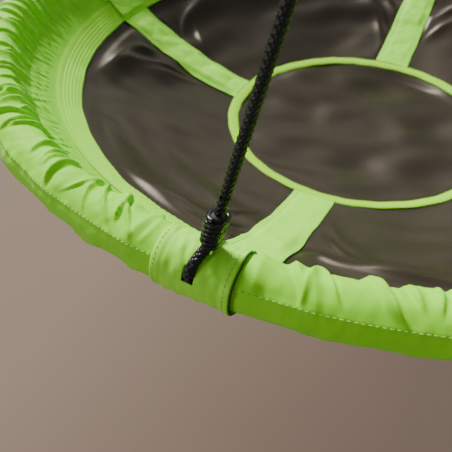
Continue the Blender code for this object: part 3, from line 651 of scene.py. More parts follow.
def hem_band():
    curve = hem_shape()
    normal = section_normals(curve, -1.0)
    along = curve[:, 0] * TAIL_COS + curve[:, 1] * TAIL_SIN
    across = curve[:, 0] * TAIL_SIN - curve[:, 1] * TAIL_COS
    phi = np.linspace(-180, 180, 1500, endpoint=False)
    p = np.radians(phi)[:, None]
    top = (across > 0.0014).astype(float)[None, :]
    dip = sum(np.exp(-((along - row) / 0.0008) ** 2) for row in HEM_ROWS)[None, :]
    quilt = np.sin(p * 330 + 1.7 * np.sin(p * 23)) * np.cos(along[None, :] * 2 * math.pi / 0.011)
    ripple = sum(a * np.sin(p * n + f) for n, a, f in ((17, 0.5, 0.3), (29, 0.35, 1.9), (47, 0.3, 4.1)))
    lift = top * (-0.0007 * dip + 0.00022 * quilt) + 0.0010 * ripple * smooth(along, 0.078, 0.105)[None, :]
    points = around(phi[:, None], *lifted(curve, normal, lift))
    uv = pairs(p * HEM_R, along[None, :])
    obj = grid_object("hem_band", points, MATS["hem"], uv, close_u=True)
    place(obj, "saucer", COVER, "seat_hem_band")
    lines = []
    outs = []
    for row in HEM_ROWS:
        col = int(np.argmin(np.abs(along - row) + (across < 0.0014) * 1.0))
        flat, rise = normal[col]
        lines.append(points[:, col])
        outs.append(np.stack([flat * np.cos(p[:, 0]), flat * np.sin(p[:, 0]), np.full(len(phi), rise)], 1))
    stitches("hem_stitches", COVER, lines, outs, HEM_STITCH)


# ---------------------------------------------------------------- seat cloth
# side of the strap, start beside it, depth below the hem, reach, height, width
DRAWN_FOLDS = ((1, 0.034, 0.020, 0.21, 0.0066, 0.0080), (1, 0.034, 0.066, 0.19, 0.0060, 0.0085),
               (1, 0.032, 0.105, 0.10, 0.0030, 0.0110), (-1, 0.036, 0.026, 0.17, 0.0056, 0.0085),
               (-1, 0.034, 0.075, 0.12, 0.0034, 0.0110))


def seat_surface(x, y):
    """Height of the cloth: bowl plus slack, tension folds from the straps and puckers at the hem."""
    r = np.hypot(x, y)
    phi = np.arctan2(y, x)
    z = seat_z(r)
    live = smooth(r, 0.02, 0.10) * (1 - smooth(r, 0.372, 0.392))
    z = z + live * 0.0030 * waves(x, y, 0.17, 31)
    z = z + live * 0.0007 * waves(x, y, 0.06, 32) * smooth(r, 0.19, 0.24)
    # folds drawn out of each strap's edges, bending round to run with the hem
    for base in QUADS.values():
        off = (np.degrees(phi) - base + 180) % 360 - 180
        side = np.radians(off) * r
        for sign, first, depth, reach, tall, wide in DRAWN_FOLDS:
            away = side * sign - first
            line = HEM_R - (0.016 + (depth + 0.030) * np.exp(-np.clip(away, 0, 1) / 0.060))
            line = line + 0.0035 * np.sin(away * 45 + base + depth * 90)
            d = (r - line) / (wide * (1 + 1.6 * np.clip(away, 0, 1) / reach))
            span = smooth(away, -0.004, 0.022) * (1 - smooth(away, reach * 0.45, reach))
            z = z + tall * span * np.where(d > 0, np.exp(-np.abs(d * 1.5) ** 1.5), np.exp(-np.abs(d) ** 1.6))
    # slack bands running along the hem
    swing = 0.7 * np.sin(phi * 3 + 0.4) + 0.5 * np.sin(phi * 7 + 2.0)
    band = np.sin((0.392 - r) * 2 * math.pi / 0.062 - 0.4 + swing)
    amount = 0.0030 * (0.65 + 0.4 * np.sin(phi * 5 + 1.0))
    z = z + amount * band * smooth(r, 0.235, 0.330) * (1 - smooth(r, 0.376, 0.394))
    # small gathers where the cloth is sewn in
    gather = np.sin(phi * 260 + 3.0 * np.sin(phi * 13))
    z = z + 0.00018 * gather * smooth(r, 0.384, 0.394) * (1 - smooth(r, 0.396, 0.402))
    # the sewn ring holds the cloth flat; inside it the cloth bellies with a soft edge
    hold = np.exp(-((r - 0.1915) / 0.010) ** 2)
    z = z * (1 - hold) + seat_z(r) * hold
    belly = waves(x * 0.6, y, 0.20, 33) * 0.0042 + 0.0026 * waves(x, y, 0.090, 34)
    z = z + belly * smooth(r, 0.02, 0.08) * (1 - smooth(r, 0.165, 0.186))
    return z


def strap_cover(x, y):
    """How far a point lies under a strap, 0..1."""
    total = np.zeros_like(x)
    for base in QUADS.values():
        out, across = polar(base)
        along = x * out[0] + y * out[1]
        side = x * across[0] + y * across[1]
        inside = 1 - smooth(np.abs(side), STRAP_W / 2 - 0.001, STRAP_W / 2 + 0.006)
        total = np.maximum(total, inside * (along > 0.15))
    return total


def seat_cloth_piece():
    inner = np.concatenate([np.linspace(0.0015, 0.02, 8), np.linspace(0.0235, 0.4135, 150)])
    phi = np.linspace(-math.pi, math.pi, 900, endpoint=False)
    p, r = np.meshgrid(phi, inner, indexing="ij")
    x, y = r * np.cos(p), r * np.sin(p)
    z = seat_surface(x, y) - 0.0008
    covered = strap_cover(x, y) * (r > 0.20) * (1 - smooth(r, 0.385, 0.40))
    z = z * (1 - covered) + (np.minimum(z, seat_z(r)) - 0.0002) * covered
    edge = seat_z(HEM_R) - 0.0008 + (r - HEM_R) * TAIL_SIN / TAIL_COS
    z = np.where(r > HEM_R, edge, z)
    points = np.stack([x, y, z], axis=-1)
    obj = grid_object("seat_cloth", points, MATS["seat"], points[..., :2].copy(), close_u=True, flip=True)
    fill_centre(obj, len(phi), len(inner))
    thicken(obj, SEAT_THICK)
    place(obj, "saucer", "dark_woven_mesh", "seat_mesh")


def fill_centre(obj, around_count, row_len):
    """Close the small hole left at the middle of a polar grid."""
    bm = bmesh.new()
    bm.from_mesh(obj.data)
    bm.verts.ensure_lookup_table()
    ring = [bm.verts[i * row_len] for i in range(around_count)]
    face = bm.faces.new(ring)
    bmesh.ops.recalc_face_normals(bm, faces=bm.faces)
    if sum(f.normal.z for f in bm.faces) < 0:
        bmesh.ops.reverse_faces(bm, faces=bm.faces)
    face.smooth = True
    bm.to_mesh(obj.data)
    bm.free()


# ---------------------------------------------------------------- sewn ring
RING_UV_R = 0.19            # radius at which the ring's weave is drawn to size
RING_ROWS = (0.14, 0.86)    # stitch rows, as shares of the width


def centre_ring():
    width = RING_OUT_R - RING_IN_R
    t = np.linspace(0, 1, 22)
    high = np.interp(t, (0.0, 0.02, 0.10, 0.30, 0.50, 0.70, 0.90, 0.98, 1.0),
                     (0.0002, 0.0012, 0.0019, 0.0021, 0.0022, 0.0021, 0.0019, 0.0012, 0.0002))
    for row in RING_ROWS:
        high = high - 0.0005 * np.exp(-((t - row) / 0.05) ** 2)
    phi = np.linspace(-math.pi, math.pi, 720, endpoint=False)
    r = RING_IN_R - 0.0004 + (width + 0.0008) * t
    p, rr = np.meshgrid(phi, r, indexing="ij")
    rr = rr + 0.0005 * np.sin(p * 9 + 1.0) + 0.0004 * np.sin(p * 31)
    z = seat_z(rr) + high[None, :] - 0.0008
    points = np.stack([rr * np.cos(p), rr * np.sin(p), z], axis=-1)
    low = points.copy()[:, ::-1]
    low[..., 2] = seat_z(rr[:, ::-1]) - 0.0010
    loop = np.concatenate([points, low[:, 1:-1]], axis=1)
    run = np.concatenate([t * width, t[::-1][1:-1] * width])
    uv = pairs(p[:, :1] * RING_UV_R, run[None, :])
    obj = grid_object("centre_ring", loop, MATS["ring"], uv, close_u=True, close_v=True, flip=True)
    place(obj, "saucer", WEBBING, "centre_ring_band")
    lines = [points[:, int(round(row * 21))] for row in RING_ROWS]
    up = np.zeros_like(lines[0]) + UP
    stitches("ring_stitches", WEBBING, lines, [up, up], RING_STITCH)


# ---------------------------------------------------------------- strap and cuff, one piece of cloth
STRAP_STEP = 0.0010
# distance along the cover's tail and offset from it, before and after the pad
STRAP_ABOVE = ((0.098, 0.0042), (0.086, 0.0041), (0.0735, 0.0042), (0.060, 0.0042), (0.048, 0.0046),
               (0.039, 0.0054))
STRAP_BELOW = ((0.036, -0.0070), (0.045, -0.0046), (0.056, -0.0034), (0.072, -0.0030))


def strap_path():
    """Radial section from the sewn ring up the bowl, over the hem and round the pad."""
    rows = []
    for r in np.linspace(RING_OUT_R - 0.001, 0.392, 9):
        rows.append((r - RIM_R, seat_z(r) - RIM_Z + 0.0012))
    rows.append((0.3995 - RIM_R, tail_point(HEM_S - 0.001, 0.0046)[1]))
    rows += [tail_point(*spot) for spot in STRAP_ABOVE]
    rows += [arc_point(turn, CUFF_R) for turn in (158, 142, 122, 102, 82, 62, 42, 22, 2, -18, -38, -58, -74)]
    rows += [tail_point(*spot) for spot in STRAP_BELOW]
    return spline(rows, STRAP_STEP)


# rope slots in the cuff, from and to an angle in the rim section
OUTER_SLOT = (47.0, 19.0)
INNER_SLOT = (161.0, 133.0)
SLOT_HALF = 0.0046


def slot_mask(turns, on_pad, lateral):
    """Cells of the cuff that are kept: the two rope slots are left open."""
    keep = np.ones((len(turns), len(lateral)), bool)
    middle = (lateral[:-1] + lateral[1:]) / 2 * CUFF_W
    inside = np.concatenate([np.abs(middle) < SLOT_HALF, [False]])
    mid_turn = (turns + np.append(turns[1:], turns[-1])) / 2
    for high, low in (OUTER_SLOT, INNER_SLOT):
        keep[np.ix_(on_pad & (mid_turn < high) & (mid_turn > low), inside)] = False
    return keep


def strap_outline(path, run, on_pad, seed):
    """Sideways place of each point of the strap, its share on the seat, and the same in widths."""
    plan = RIM_R + path[:, 0]
    slot_edge = SLOT_HALF / CUFF_W
    lateral = np.unique(np.concatenate([np.linspace(-0.5, 0.5, 45), [slot_edge, -slot_edge]]))
    hem_run = np.interp(0.40, plan[:200], run[:200])
    width = STRAP_W + (CUFF_W - STRAP_W) * smooth(run, hem_run - 0.02, hem_run + 0.03)
    side = lateral[None, :] * width[:, None]
    s = run[:, None] + 0 * side
    seat_part = 1 - smooth(plan[:, None], 0.372, 0.398)
    seat_part = seat_part * (run < run[np.argmax(on_pad)])[:, None]
    edge = np.sign(side)
    edge_wave = 0.0009 * (waves(s, edge, 0.070, seed) + 0.25 * waves(s, edge, 0.028, seed + 1))
    return side + edge_wave * (2 * lateral[None, :]) * seat_part, s, seat_part, lateral


def strap_height(pos, z, s, side, lateral, seat_part, seed, fold_run):
    """Height of the strap: it bridges the slack cloth, wrinkles, and its edges hug the cloth."""
    hug = seat_part * smooth(np.abs(lateral)[None, :] * 2, 0.45, 0.95)
    bowl = seat_surface(pos[..., 0], pos[..., 1])
    flat = seat_z(np.hypot(pos[..., 0], pos[..., 1]))
    z = z * (1 - seat_part) + (np.maximum(flat, bowl * 0.55 + flat * 0.45) + 0.0006) * seat_part
    # slack cross wrinkles in the strap, deeper near the rim
    wrinkle = 0.0022 * waves(s, side * 0.55, 0.075, seed + 2) + 0.0005 * waves(s, side, 0.026, seed + 3)
    z = z + seat_part * np.abs(wrinkle) * smooth(s, 0.004, 0.03) * (1 - 0.7 * (2 * lateral[None, :]) ** 4)
    z = z * (1 - hug) + (np.minimum(bowl, flat) + 0.0003) * hug
    fold = np.exp(-((s - fold_run - side * 0.7) / 0.010) ** 2)
    return z + seat_part * 0.0014 * fold * (1 - hug)


# slant and height of the drag lines that run up to the outer rope slot
DRAG_LINES = ((1.1, 0.0011), (-0.9, 0.0010), (2.4, 0.0008))


def strap_lift(side, s, lateral, turns, on_pad, cuff_part, seed):
    """Sewn edges, loose waves and drag lines, as a lift along the cloth's normal."""
    rim_edge = np.abs(lateral)[None, :] * 2
    lift = 0.00035 * smooth(rim_edge, 0.72, 0.76) - 0.0005 * np.exp(-((rim_edge - 0.74) / 0.025) ** 2)
    loose = 0.0005 * waves(side, s, 0.030, seed + 4) + 0.0004 * waves(side * 2, s, 0.016, seed + 5)
    lift = lift + cuff_part * loose
    top = on_pad[:, None] & (turns[:, None] > -60)
    spot = np.radians(turns)[:, None] * CUFF_R
    for lean, tall in DRAG_LINES:
        d = (side - 0.005 * np.sign(lean) - (spot - math.radians(24) * CUFF_R) * 0.35 * lean) / 0.0026
        reach = np.exp(-((spot - math.radians(56) * CUFF_R) / 0.016) ** 2)
        lift = lift + np.where(top, tall * np.exp(-np.abs(d) ** 1.6) * reach, 0.0)
    # the edge towards the next panel stands off a little, the other is sewn down
    lift = lift + cuff_part * 0.0009 * smooth(lateral[None, :], 0.40, 0.5)
    return lift - cuff_part * 0.0004 * smooth(-lateral[None, :], 0.42, 0.5)


def strap_and_cuff(key, base):
    path, run = strap_path()
    turns = turn_of(path)
    on_pad = np.hypot(path[:, 0], path[:, 1]) < 0.030
    plan = RIM_R + path[:, 0]
    seed = 300 + int(base) % 360
    side, s, seat_part, lateral = strap_outline(path, run, on_pad, seed)
    # straight across the seat, curved with the rim over the pad
    er, et = polar(base)
    rho = plan[:, None] + 0 * side
    alpha = side / rho
    straight = er * rho[..., None] + et * side[..., None]
    curved = rho[..., None] * (er * np.cos(alpha)[..., None] + et * np.sin(alpha)[..., None])
    blend = smooth(plan, 0.390, 0.440)[:, None, None]
    pos = straight * (1 - blend) + curved * blend
    z = RIM_Z + path[:, 1][:, None] + 0 * side
    pos[..., 2] = strap_height(pos, z, s, side, lateral, seat_part, seed, run[np.argmax(plan > 0.335)])
    normal = section_normals(path)[:, None, :] * np.ones_like(side)[..., None]
    flat = normal[..., :1]
    out = er * flat * np.cos(alpha)[..., None] + et * (flat * np.sin(alpha)[..., None])
    out = unit(out + UP * normal[..., 1:])
    pos = pos + out * strap_lift(side, s, lateral, turns, on_pad, 1 - seat_part, seed)[..., None]
    obj = grid_object("strap_cuff_" + key, pos, MATS["strap"], np.stack([side, s], axis=-1),
                      keep=slot_mask(turns, on_pad, lateral))
    thicken(obj, STRAP_THICK, 0.0)
    place(obj, "saucer", COVER, "rope_cuff_" + key, "seat_strap_" + key)
    strap_rows(key, pos, out, lateral, run, on_pad)
    cuff_edge(key, pos, out, on_pad, base)


def strap_rows(key, pos, out, lateral, run, on_pad):
    """Double stitching along both edges."""
    first = int(np.argmax(on_pad))
    strap, cuff = slice(6, first + 4), slice(first + 6, len(run) - 12)
    lines = []
    outs = []
    marks = [(m, strap) for m in (-0.455, -0.385, 0.385, 0.455)] + [(m, cuff) for m in (-0.455, 0.44)]
    for mark, part in marks:
        col = int(np.argmin(np.abs(lateral - mark)))
        lines.append(pos[part, col])
        outs.append(out[part, col])
    stitches("strap_stitches_" + key, WEBBING, lines, outs, STRAP_STITCH)


def cuff_edge(key, pos, out, on_pad, base):
    """Black tube in the gap beside the cuff, as painted shade where the cuff's edge stands off."""
    rows = np.nonzero(on_pad)[0]
    rows = rows[int(len(rows) * 0.16):int(len(rows) * 0.93)]
    line = pos[rows, -1] - out[rows, -1] * 0.0007
    taper = np.sin(np.linspace(0.12, math.pi - 0.12, len(rows))) ** 0.6
    path = line + polar(base)[1] * (0.0006 + 0.0004 * taper)[:, None]
    obj = sweep_tubes("cuff_gap_" + key, [path], 0.00045 * taper, 6, MATS["gap"])
    place(obj, "saucer", COVER)


# ---------------------------------------------------------------- ropes
class Leg:
    """Signs, lean, directions and anchor points of one rope leg."""

    def __init__(self, key):
        self.sx = 1.0 if "right" in key else -1.0
        self.sy = 1.0 if "back" in key else -1.0
        self.lean = np.array([0.0, -self.sy * math.sin(ROPE_LEAN), math.cos(ROPE_LEAN)])
        self.radial = np.array([self.sx, self.sy, 0.0]) / math.sqrt(2.0)
        drop = np.array([0, -self.sy * WHIP_DRIFT, RIM_Z + WHIP_RISE])
        self.foot = self.radial * (RIM_R + WHIP_OUT) + drop
        self.pivot = self.foot + self.lean * (WHIP_LEN + PIVOT_GAP)
        self.side = unit(self.radial - self.lean * self.radial.dot(self.lean))
        self.out = np.array([self.sx, 0.0, 0.0])
        self.across = np.cross(self.lean, self.out)

    def at(self, rise, out=0.0):
        """Point above the pivot along the lean, moved outward."""
        return self.pivot + self.lean * rise + self.out * out


SPAN = 1.1608693            # from the pivot over the whipping to the middle of the rope's eye
EYE_R = 0.00975
ADJUSTER_DROP = 0.175       # adjuster and knot, down from the eye
KNOT_DROP = 0.330
KNOT_TURNS = 1.6
KNOT_R = 0.0034
CORE_R = ROPE_R - 0.0009
ALONG_Y = (0.0, 1.0, 0.0)


def leg_path(key):
    """Centreline of the rope: up from the whipping, round the ring, down through the adjuster."""
    leg = Leg(key)
    half = [(0.001, 0.0), (0.05, -0.0006), (0.20, -0.0016), (0.50, -0.0035)]
    half += [(SPAN - drop, -0.0055) for drop in (0.300, 0.240, 0.175, 0.110, 0.060)]
    half += [(SPAN - 0.032, -0.0072), (SPAN - 0.012, -0.0094)]
    for turn in (180, 150, 120, 90, 60, 30, 0):
        half.append((SPAN + EYE_R * math.sin(math.radians(turn)), EYE_R * math.cos(math.radians(turn))))
    half += [(SPAN - 0.012, 0.0094), (SPAN - 0.032, 0.0072)]
    half += [(SPAN - drop, 0.0055) for drop in (0.060, 0.110, 0.175, 0.240)]
    half += [(SPAN - 0.292, 0.0056), (SPAN - 0.304, 0.0075), (SPAN - 0.317, 0.0085), (SPAN - 0.330, 0.0085)]
    return spline([leg.at(rise, shift) for rise, shift in half], 0.0011)


BRAID_PITCH = 0.022
YARN_PAIRS = 5
YARN_WIDTH, YARN_THICK = 0.00150, 0.00075       # half sizes of a yarn's section
YARN_R = ROPE_R - 0.00095
YARN_WEAVE = 0.00036        # how far a yarn rises and dips where it crosses another


def yarn_paths(path, run, hint):
    """Two sets of yarns running opposite ways, passing over and under each other."""
    side, up = path_frames(path, hint)
    turn = 2 * math.pi * run / BRAID_PITCH
    paths = []
    for way in (1.0, -1.0):
        for k in range(YARN_PAIRS):
            angle = way * turn + 2 * math.pi * k / YARN_PAIRS
            r = YARN_R + YARN_WEAVE * np.cos(angle * YARN_PAIRS) * way
            paths.append(path + side * (np.cos(angle) * r)[:, None] + up * (np.sin(angle) * r)[:, None])
    return paths


def braid(name, path, run, hint, sides=6):
    """Round braid of yarns with a flattened section lying on the rope's surface."""
    verts = []
    faces = []
    uvs = []
    ring = ring_angles(sides)
    base = 0
    for yarn in yarn_paths(path, run, hint):
        n = len(yarn)
        tan = unit(np.gradient(yarn, axis=0))
        out = yarn - path
        out = unit(out - tan * (out * tan).sum(1, keepdims=True))
        side = np.cross(tan, out)
        pts = (yarn[:, None, :] + side[:, None, :] * (np.cos(ring) * YARN_WIDTH)[None, :, None]
               + out[:, None, :] * (np.sin(ring) * YARN_THICK)[None, :, None])
        verts.append(pts.reshape(-1, 3))
        uvs.append(pairs(ring[None, :] / ROUND * 0.005, arc_run(yarn)[:, None]).reshape(-1, 2))
        faces.append(grid_faces(n, sides, False, True) + base)
        base += n * sides
    return make_object(name, np.vstack(verts), np.vstack(faces), MATS["rope"], np.vstack(uvs))


def rope_leg(key):
    leg = Leg(key)
    path, run = leg_path(key)
    braided = braid("rope_braid_" + key, path, run, ALONG_Y)
    core = sweep_tubes("rope_core_" + key, [path[::2]], CORE_R, 10, MATS["core"], ALONG_Y)
    # turns of the stop knot round the end of the tail, drawn tight
    low = leg.at(SPAN - KNOT_DROP)
    knot = []
    for t in np.arange(46) / 45.0:
        a = t * 2 * math.pi * KNOT_TURNS
        knot.append(low + leg.lean * (0.0215 - 0.010 * t) + leg.out * (0.0085 + KNOT_R * math.cos(a))
                    + leg.across * KNOT_R * math.sin(a))
    wrap = sweep_tubes("rope_knot_" + key, [knot], 0.0030, 10, MATS["rope"])
    body = "ropes_right" if leg.sx > 0 else "ropes_left"
    place_all((braided, core, wrap), body, ROPE, "rope_leg_" + key)


# angle in the rim section, distance from the tube's centre, share of the drift towards the whipping
LOOP_STOPS = ((64, 0.0273, 0.55), (52, 0.0268, 0.30), (42, 0.0252, 0.12), (32, 0.0222, 0.03), (22, 0.0188, 0),
              (8, 0.0168, 0), (-15, 0.0164, 0), (-50, 0.0164, 0), (-90, 0.0164, 0), (-130, 0.0164, 0),
              (-165, 0.0164, 0), (172, 0.0168, 0), (158, 0.0188, 0), (148, 0.0222, 0.03), (138, 0.0252, 0.12),
              (128, 0.0268, 0.30), (116, 0.0273, 0.55))


def rim_loop(key):
    """Rope that rises out of the cuff's slots on both sides of the tube and enters the whipping."""
    leg = Leg(key)
    lean, strand = leg.lean, leg.side * STRAND_SIDE
    splay = leg.side * (STRAND_SIDE + 0.0006)
    drift = np.array([0.0, -leg.sy * WHIP_DRIFT, 0.0])
    top = leg.foot + lean * (WHIP_TOP - 0.005)
    middle = leg.foot - lean * 0.003
    points = [top + strand, middle + lean * 0.012 + strand, middle + splay]
    for turn, radius, share in LOOP_STOPS:
        x, z = arc_point(turn, radius)
        points.append(leg.radial * (RIM_R + x) + np.array([0, 0, RIM_Z + z]) + drift * share)
    points += [middle - splay, middle + lean * 0.012 - strand, top - strand]
    path, run = spline(points, 0.0009)
    hint = np.array([-leg.radial[1], leg.radial[0], 0.0])
    braided = braid("loop_braid_" + key, path, run, hint, 8)
    core = sweep_tubes("loop_core_" + key, [path[::2]], CORE_R, 12, MATS["core"], hint)
    place_all((braided, core), "saucer", ROPE, "rim_rope_loop_" + key)


def rope_throat(key):
    """Rope from the whipping's top turn to the pivot, with a rounded end that the leg leans over."""
    leg = Leg(key)
    run = np.arange(WHIP_TOP - 0.006 - WHIP_LEN - PIVOT_GAP, -0.0004, 0.0011)
    path = leg.pivot + leg.lean * run[:, None]
    braided = braid("throat_braid_" + key, path, run, ALONG_Y)
    dome = -0.0020
    end = [(r, CORE_R) for r in (run[0], dome)]
    end += [(dome + CORE_R * math.sin(a), CORE_R * math.cos(a)) for a in np.radians((20, 40, 60, 75, 89))]
    line = np.array([leg.at(rise) for rise, _ in end])
    radii = np.array([wide for _, wide in end])
    core = sweep_tubes("throat_core_" + key, [line], radii, 16, MATS["core"], ALONG_Y)
    for piece in (braided, core):
        place(piece, "saucer", ROPE)


# ---------------------------------------------------------------- whipping
WHIP_TOP = 0.0215           # height of the top turn above the foot


def stadium(turn, reach, radius):
    """Outline round two strands that stand side by side."""
    x = math.cos(turn) * radius + (reach if math.cos(turn) > 0 else -reach) * min(1.0, abs(math.cos(turn)) * 4)
    return x, math.sin(turn) * radius


WHIP_TURNS = 6
CORD_R = 0.00185


WHIP_LOW = -0.0015
WRAP_REACH, WRAP_R = 0.0030, 0.0042     # half length of the turns' straight part, and their radius
WRAP_FIRST = 0.00055        # slack of the first turn, and how much more the last one has
WRAP_GROWS = 0.0010


def whipping(key):
    """Cord turns round both strands, a filling inside them and a clear sleeve over them."""
    leg = Leg(key)
    across = np.cross(leg.lean, leg.side)

    def at(rise, x, y):
        return leg.foot + leg.lean * rise + leg.side * x + across * y

    rng = np.random.default_rng(40 + int(leg.sx * 2 + leg.sy))
    height = WHIP_TOP - WHIP_LOW
    cord = []
    for t in np.arange(WHIP_TURNS * 44 + 1) / (WHIP_TURNS * 44):
        a = 2 * math.pi * WHIP_TURNS * t
        wobble = 0.00022 * math.sin(a * 0.37 + 2.0) + 0.00018 * math.sin(a * 1.31)
        x, y = stadium(a, WRAP_REACH, WRAP_R + WRAP_FIRST + WRAP_GROWS * t + wobble)
        cord.append(at(WHIP_LOW + height * t + 0.0004 * math.sin(a + 1.0), x, y))
    wrap = sweep_tubes("whipping_cord_" + key, [cord], CORD_R, 12, MATS["cord"], tuple(leg.lean))
    # inner filling so that no light passes between the turns
    fill = []
    levels = [(r, 1.0) for r in np.linspace(WHIP_LOW, WHIP_TOP, 10)]
    for rise, share in levels + [(WHIP_TOP + 0.0012, 0.9), (WHIP_TOP + 0.0016, 0.1)]:
        fill.append([at(rise, *stadium(a, 0.0028 * share, 0.0045 * share)) for a in circle(40)])
    inner = grid_object("whipping_fill_" + key, np.asarray(fill), MATS["core"], close_v=True)
    # clear sleeve over the turns, flared and a little torn at the mouth
    tears = rng.uniform(0, PHASE, 3)
    rows = []
    for t in np.linspace(0, 1, 60):
        rise = WHIP_LOW - 0.0015 + (height + 0.0030) * t
        flare = 0.0008 * smooth(t, 0.88, 1.0) + 0.0004 * smooth(1 - t, 0.92, 1.0)
        row = []
        for a in circle(72):
            groove = math.cos(2 * math.pi * WHIP_TURNS * (rise - WHIP_LOW) / height - a)
            reach = WRAP_R + WRAP_FIRST + WRAP_GROWS * t + CORD_R + 0.00008 + 0.00012 * groove
            lip = smooth(t, 0.9, 1.0) * 0.0009 * (math.sin(2 * a + tears[0]) + 0.6 * math.sin(3 * a + tears[1]))
            row.append(at(rise + lip, *stadium(a, WRAP_REACH, reach + flare)))
        rows.append(row)
    skin = grid_object("whipping_sleeve_" + key, np.asarray(rows), MATS["sleeve"], close_v=True)
    thicken(skin, SLEEVE_THICK, 0.0)
    place_all((wrap, inner, skin), "saucer", "clear_black_whipping", "rope_whipping_" + key)


# ---------------------------------------------------------------- adjusters
# height in the block and share of its outline
BLOCK_ROWS = ((-0.0158, 0.72), (-0.0156, 0.80), (-0.0148, 0.90), (-0.0132, 0.97), (-0.0100, 1.0),
              (-0.0060, 0.975), (0.0, 0.90), (0.0060, 0.975), (0.0100, 1.0), (0.0132, 0.97), (0.0148, 0.90),
              (0.0156, 0.80), (0.0158, 0.72))
BLOCK_HALF_W, BLOCK_HALF_D = 0.0163, 0.0084
BLOCK_POWER = 0.55          # roundness of the block's outline, 1 for an ellipse
COLLAR_R = 0.0050
COLLAR_RISE = 0.0155
ROPE_SHIFT = 0.0055         # the rope holes, to each side of the block's middle


def adjuster(key):
    """Moulded two-hole slider: rounded block with collars round the rope holes."""
    leg = Leg(key)
    centre = leg.at(SPAN - ADJUSTER_DROP)
    rows = []
    for rise, share in BLOCK_ROWS:
        row = []
        for a in circle(64):
            c, s = math.cos(a), math.sin(a)
            x = math.copysign(abs(c) ** BLOCK_POWER, c) * (BLOCK_HALF_W - 0.004 * (1 - share))
            y = math.copysign(abs(s) ** BLOCK_POWER, s) * BLOCK_HALF_D * (0.6 + 0.4 * share)
            row.append(centre + leg.lean * rise + leg.out * x * (0.5 + 0.5 * share) + leg.across * y)
        rows.append(row)
    block = grid_object("adjuster_block_" + key, np.asarray(rows), MATS["block"], close_v=True)
    collars = []
    for shift in (-ROPE_SHIFT, ROPE_SHIFT):
        for end in (-1.0, 1.0):
            collars.append([centre + leg.lean * end * COLLAR_RISE + leg.out * (shift + COLLAR_R * math.cos(a))
                            + leg.across * COLLAR_R * math.sin(a) for a in np.linspace(0, 2 * math.pi, 41)])
    lips = sweep_tubes("adjuster_collars_" + key, collars, 0.0009, 10, MATS["block"], tuple(leg.lean))
    place_all((block, lips), "adjuster_" + key, "black_nylon", "rope_adjuster_" + key)


# ---------------------------------------------------------------- steel
def polish(node, mat):
    """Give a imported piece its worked-up surface."""
    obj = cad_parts[node]
    if not obj.data.materials:
        obj.data.materials.append(mat)
    for slot in obj.material_slots:
        slot.material = mat


def hanging_ring(side):
    low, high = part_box("hanging_ring_" + side)
    c = (np.array(low) + np.array(high)) / 2
    wire = (high.x - low.x) / 2
    big = (high.z - low.z) / 2 - wire
    turn = np.linspace(0, 2 * math.pi, 220)
    path = np.stack([c[0] + 0 * turn, c[1] + big * np.cos(turn), c[2] + big * np.sin(turn)], axis=1)
    obj = sweep_tubes("steel_ring_" + side, [path], wire, 24, MATS["bright"], (1.0, 0.0, 0.0), caps=False)
    place(obj, "ring_" + side, BRIGHT_STEEL, "hanging_ring_" + side)


HOOK_BAR_R = 0.004
HOOK_HALF_W = 0.018         # wire centre half width
HOOK_H = 0.066              # wire centre height
HOOK_CORNER = 0.012
GATE_LOW = 0.0144           # gate's lower end and hinge, above the hook's lower bar
HINGE_Z = 0.0490
GATE_R = 0.0036
FORK_GAP = 0.0017           # half the slot between the gate's two cheeks
CLOSED = 0.00001            # radius of a row that closes a piece off


def hook_spot(side):
    """Middle of a hook's lower bar, and which way its gate faces."""
    low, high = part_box("snap_hook_" + side)
    return np.array([(low.x + high.x) / 2, 0.0, low.z + HOOK_BAR_R]), 1.0 if side == "right" else -1.0


NOSE_ROWS = ((0.0004, CLOSED), (0.0004, 0.0030), (0.0007, 0.0037), (0.0012, HOOK_BAR_R))
LUG_ROWS = ((0.0047, 0.0039, 0.0037), (0.0044, 0.0037, 0.0026), (0.0041, 0.0035, 0.0017),
            (0.0038, 0.0034, 0.0013), (0.0, 0.0034, 0.0013), (-0.0012, 0.0031, 0.0013),
            (-0.0022, 0.0024, 0.0012), (-0.0028, 0.0013, 0.0008), (-0.0029, CLOSED, CLOSED))


def hook_bar_line():
    """Centre line of the bent bar with its half width and half thickness, nose first, flat lug last."""
    spots = [(HOOK_HALF_W, GATE_LOW - drop, size, size) for drop, size in NOSE_ROWS]
    near, far = HOOK_HALF_W - HOOK_CORNER, HOOK_H - HOOK_CORNER
    corners = ((near, HOOK_CORNER, 0.0), (-near, HOOK_CORNER, -90.0), (-near, far, 180.0), (near, far, 90.0))
    for cx, cz, start in corners:
        for turn in np.radians(np.linspace(start, start - 90.0, 13)):
            x, z = cx + HOOK_CORNER * math.cos(turn), cz + HOOK_CORNER * math.sin(turn)
            spots.append((x, z, HOOK_BAR_R, HOOK_BAR_R))
    for lift, wide, thick in LUG_ROWS:
        spots.append((HOOK_HALF_W, HINGE_Z + lift, wide, thick))
    return np.array(spots)


def snap_hook(side):
    base, sx = hook_spot(side)
    spots = hook_bar_line()
    line = spots[:, :2]
    ahead = np.roll(line, -1, axis=0) - np.roll(line, 1, axis=0)
    ahead[:len(NOSE_ROWS)] = (0.0, -1.0)
    ahead[-len(LUG_ROWS):] = (0.0, -1.0)
    ahead = unit(ahead)
    normal = np.stack([-ahead[:, 1], ahead[:, 0]], axis=1)
    ring = circle(28)
    plane = line[:, None, :] + normal[:, None, :] * (spots[:, 2, None] * np.cos(ring))[..., None]
    across = spots[:, 3, None] * np.sin(ring)
    points = base + np.stack([sx * plane[..., 0], across, plane[..., 1]], axis=-1)
    obj = grid_object("snap_hook_bar_" + side, points, MATS["bright"], close_v=True, flip=sx > 0)
    place(obj, "hooks", BRIGHT_STEEL, "snap_hook_" + side)


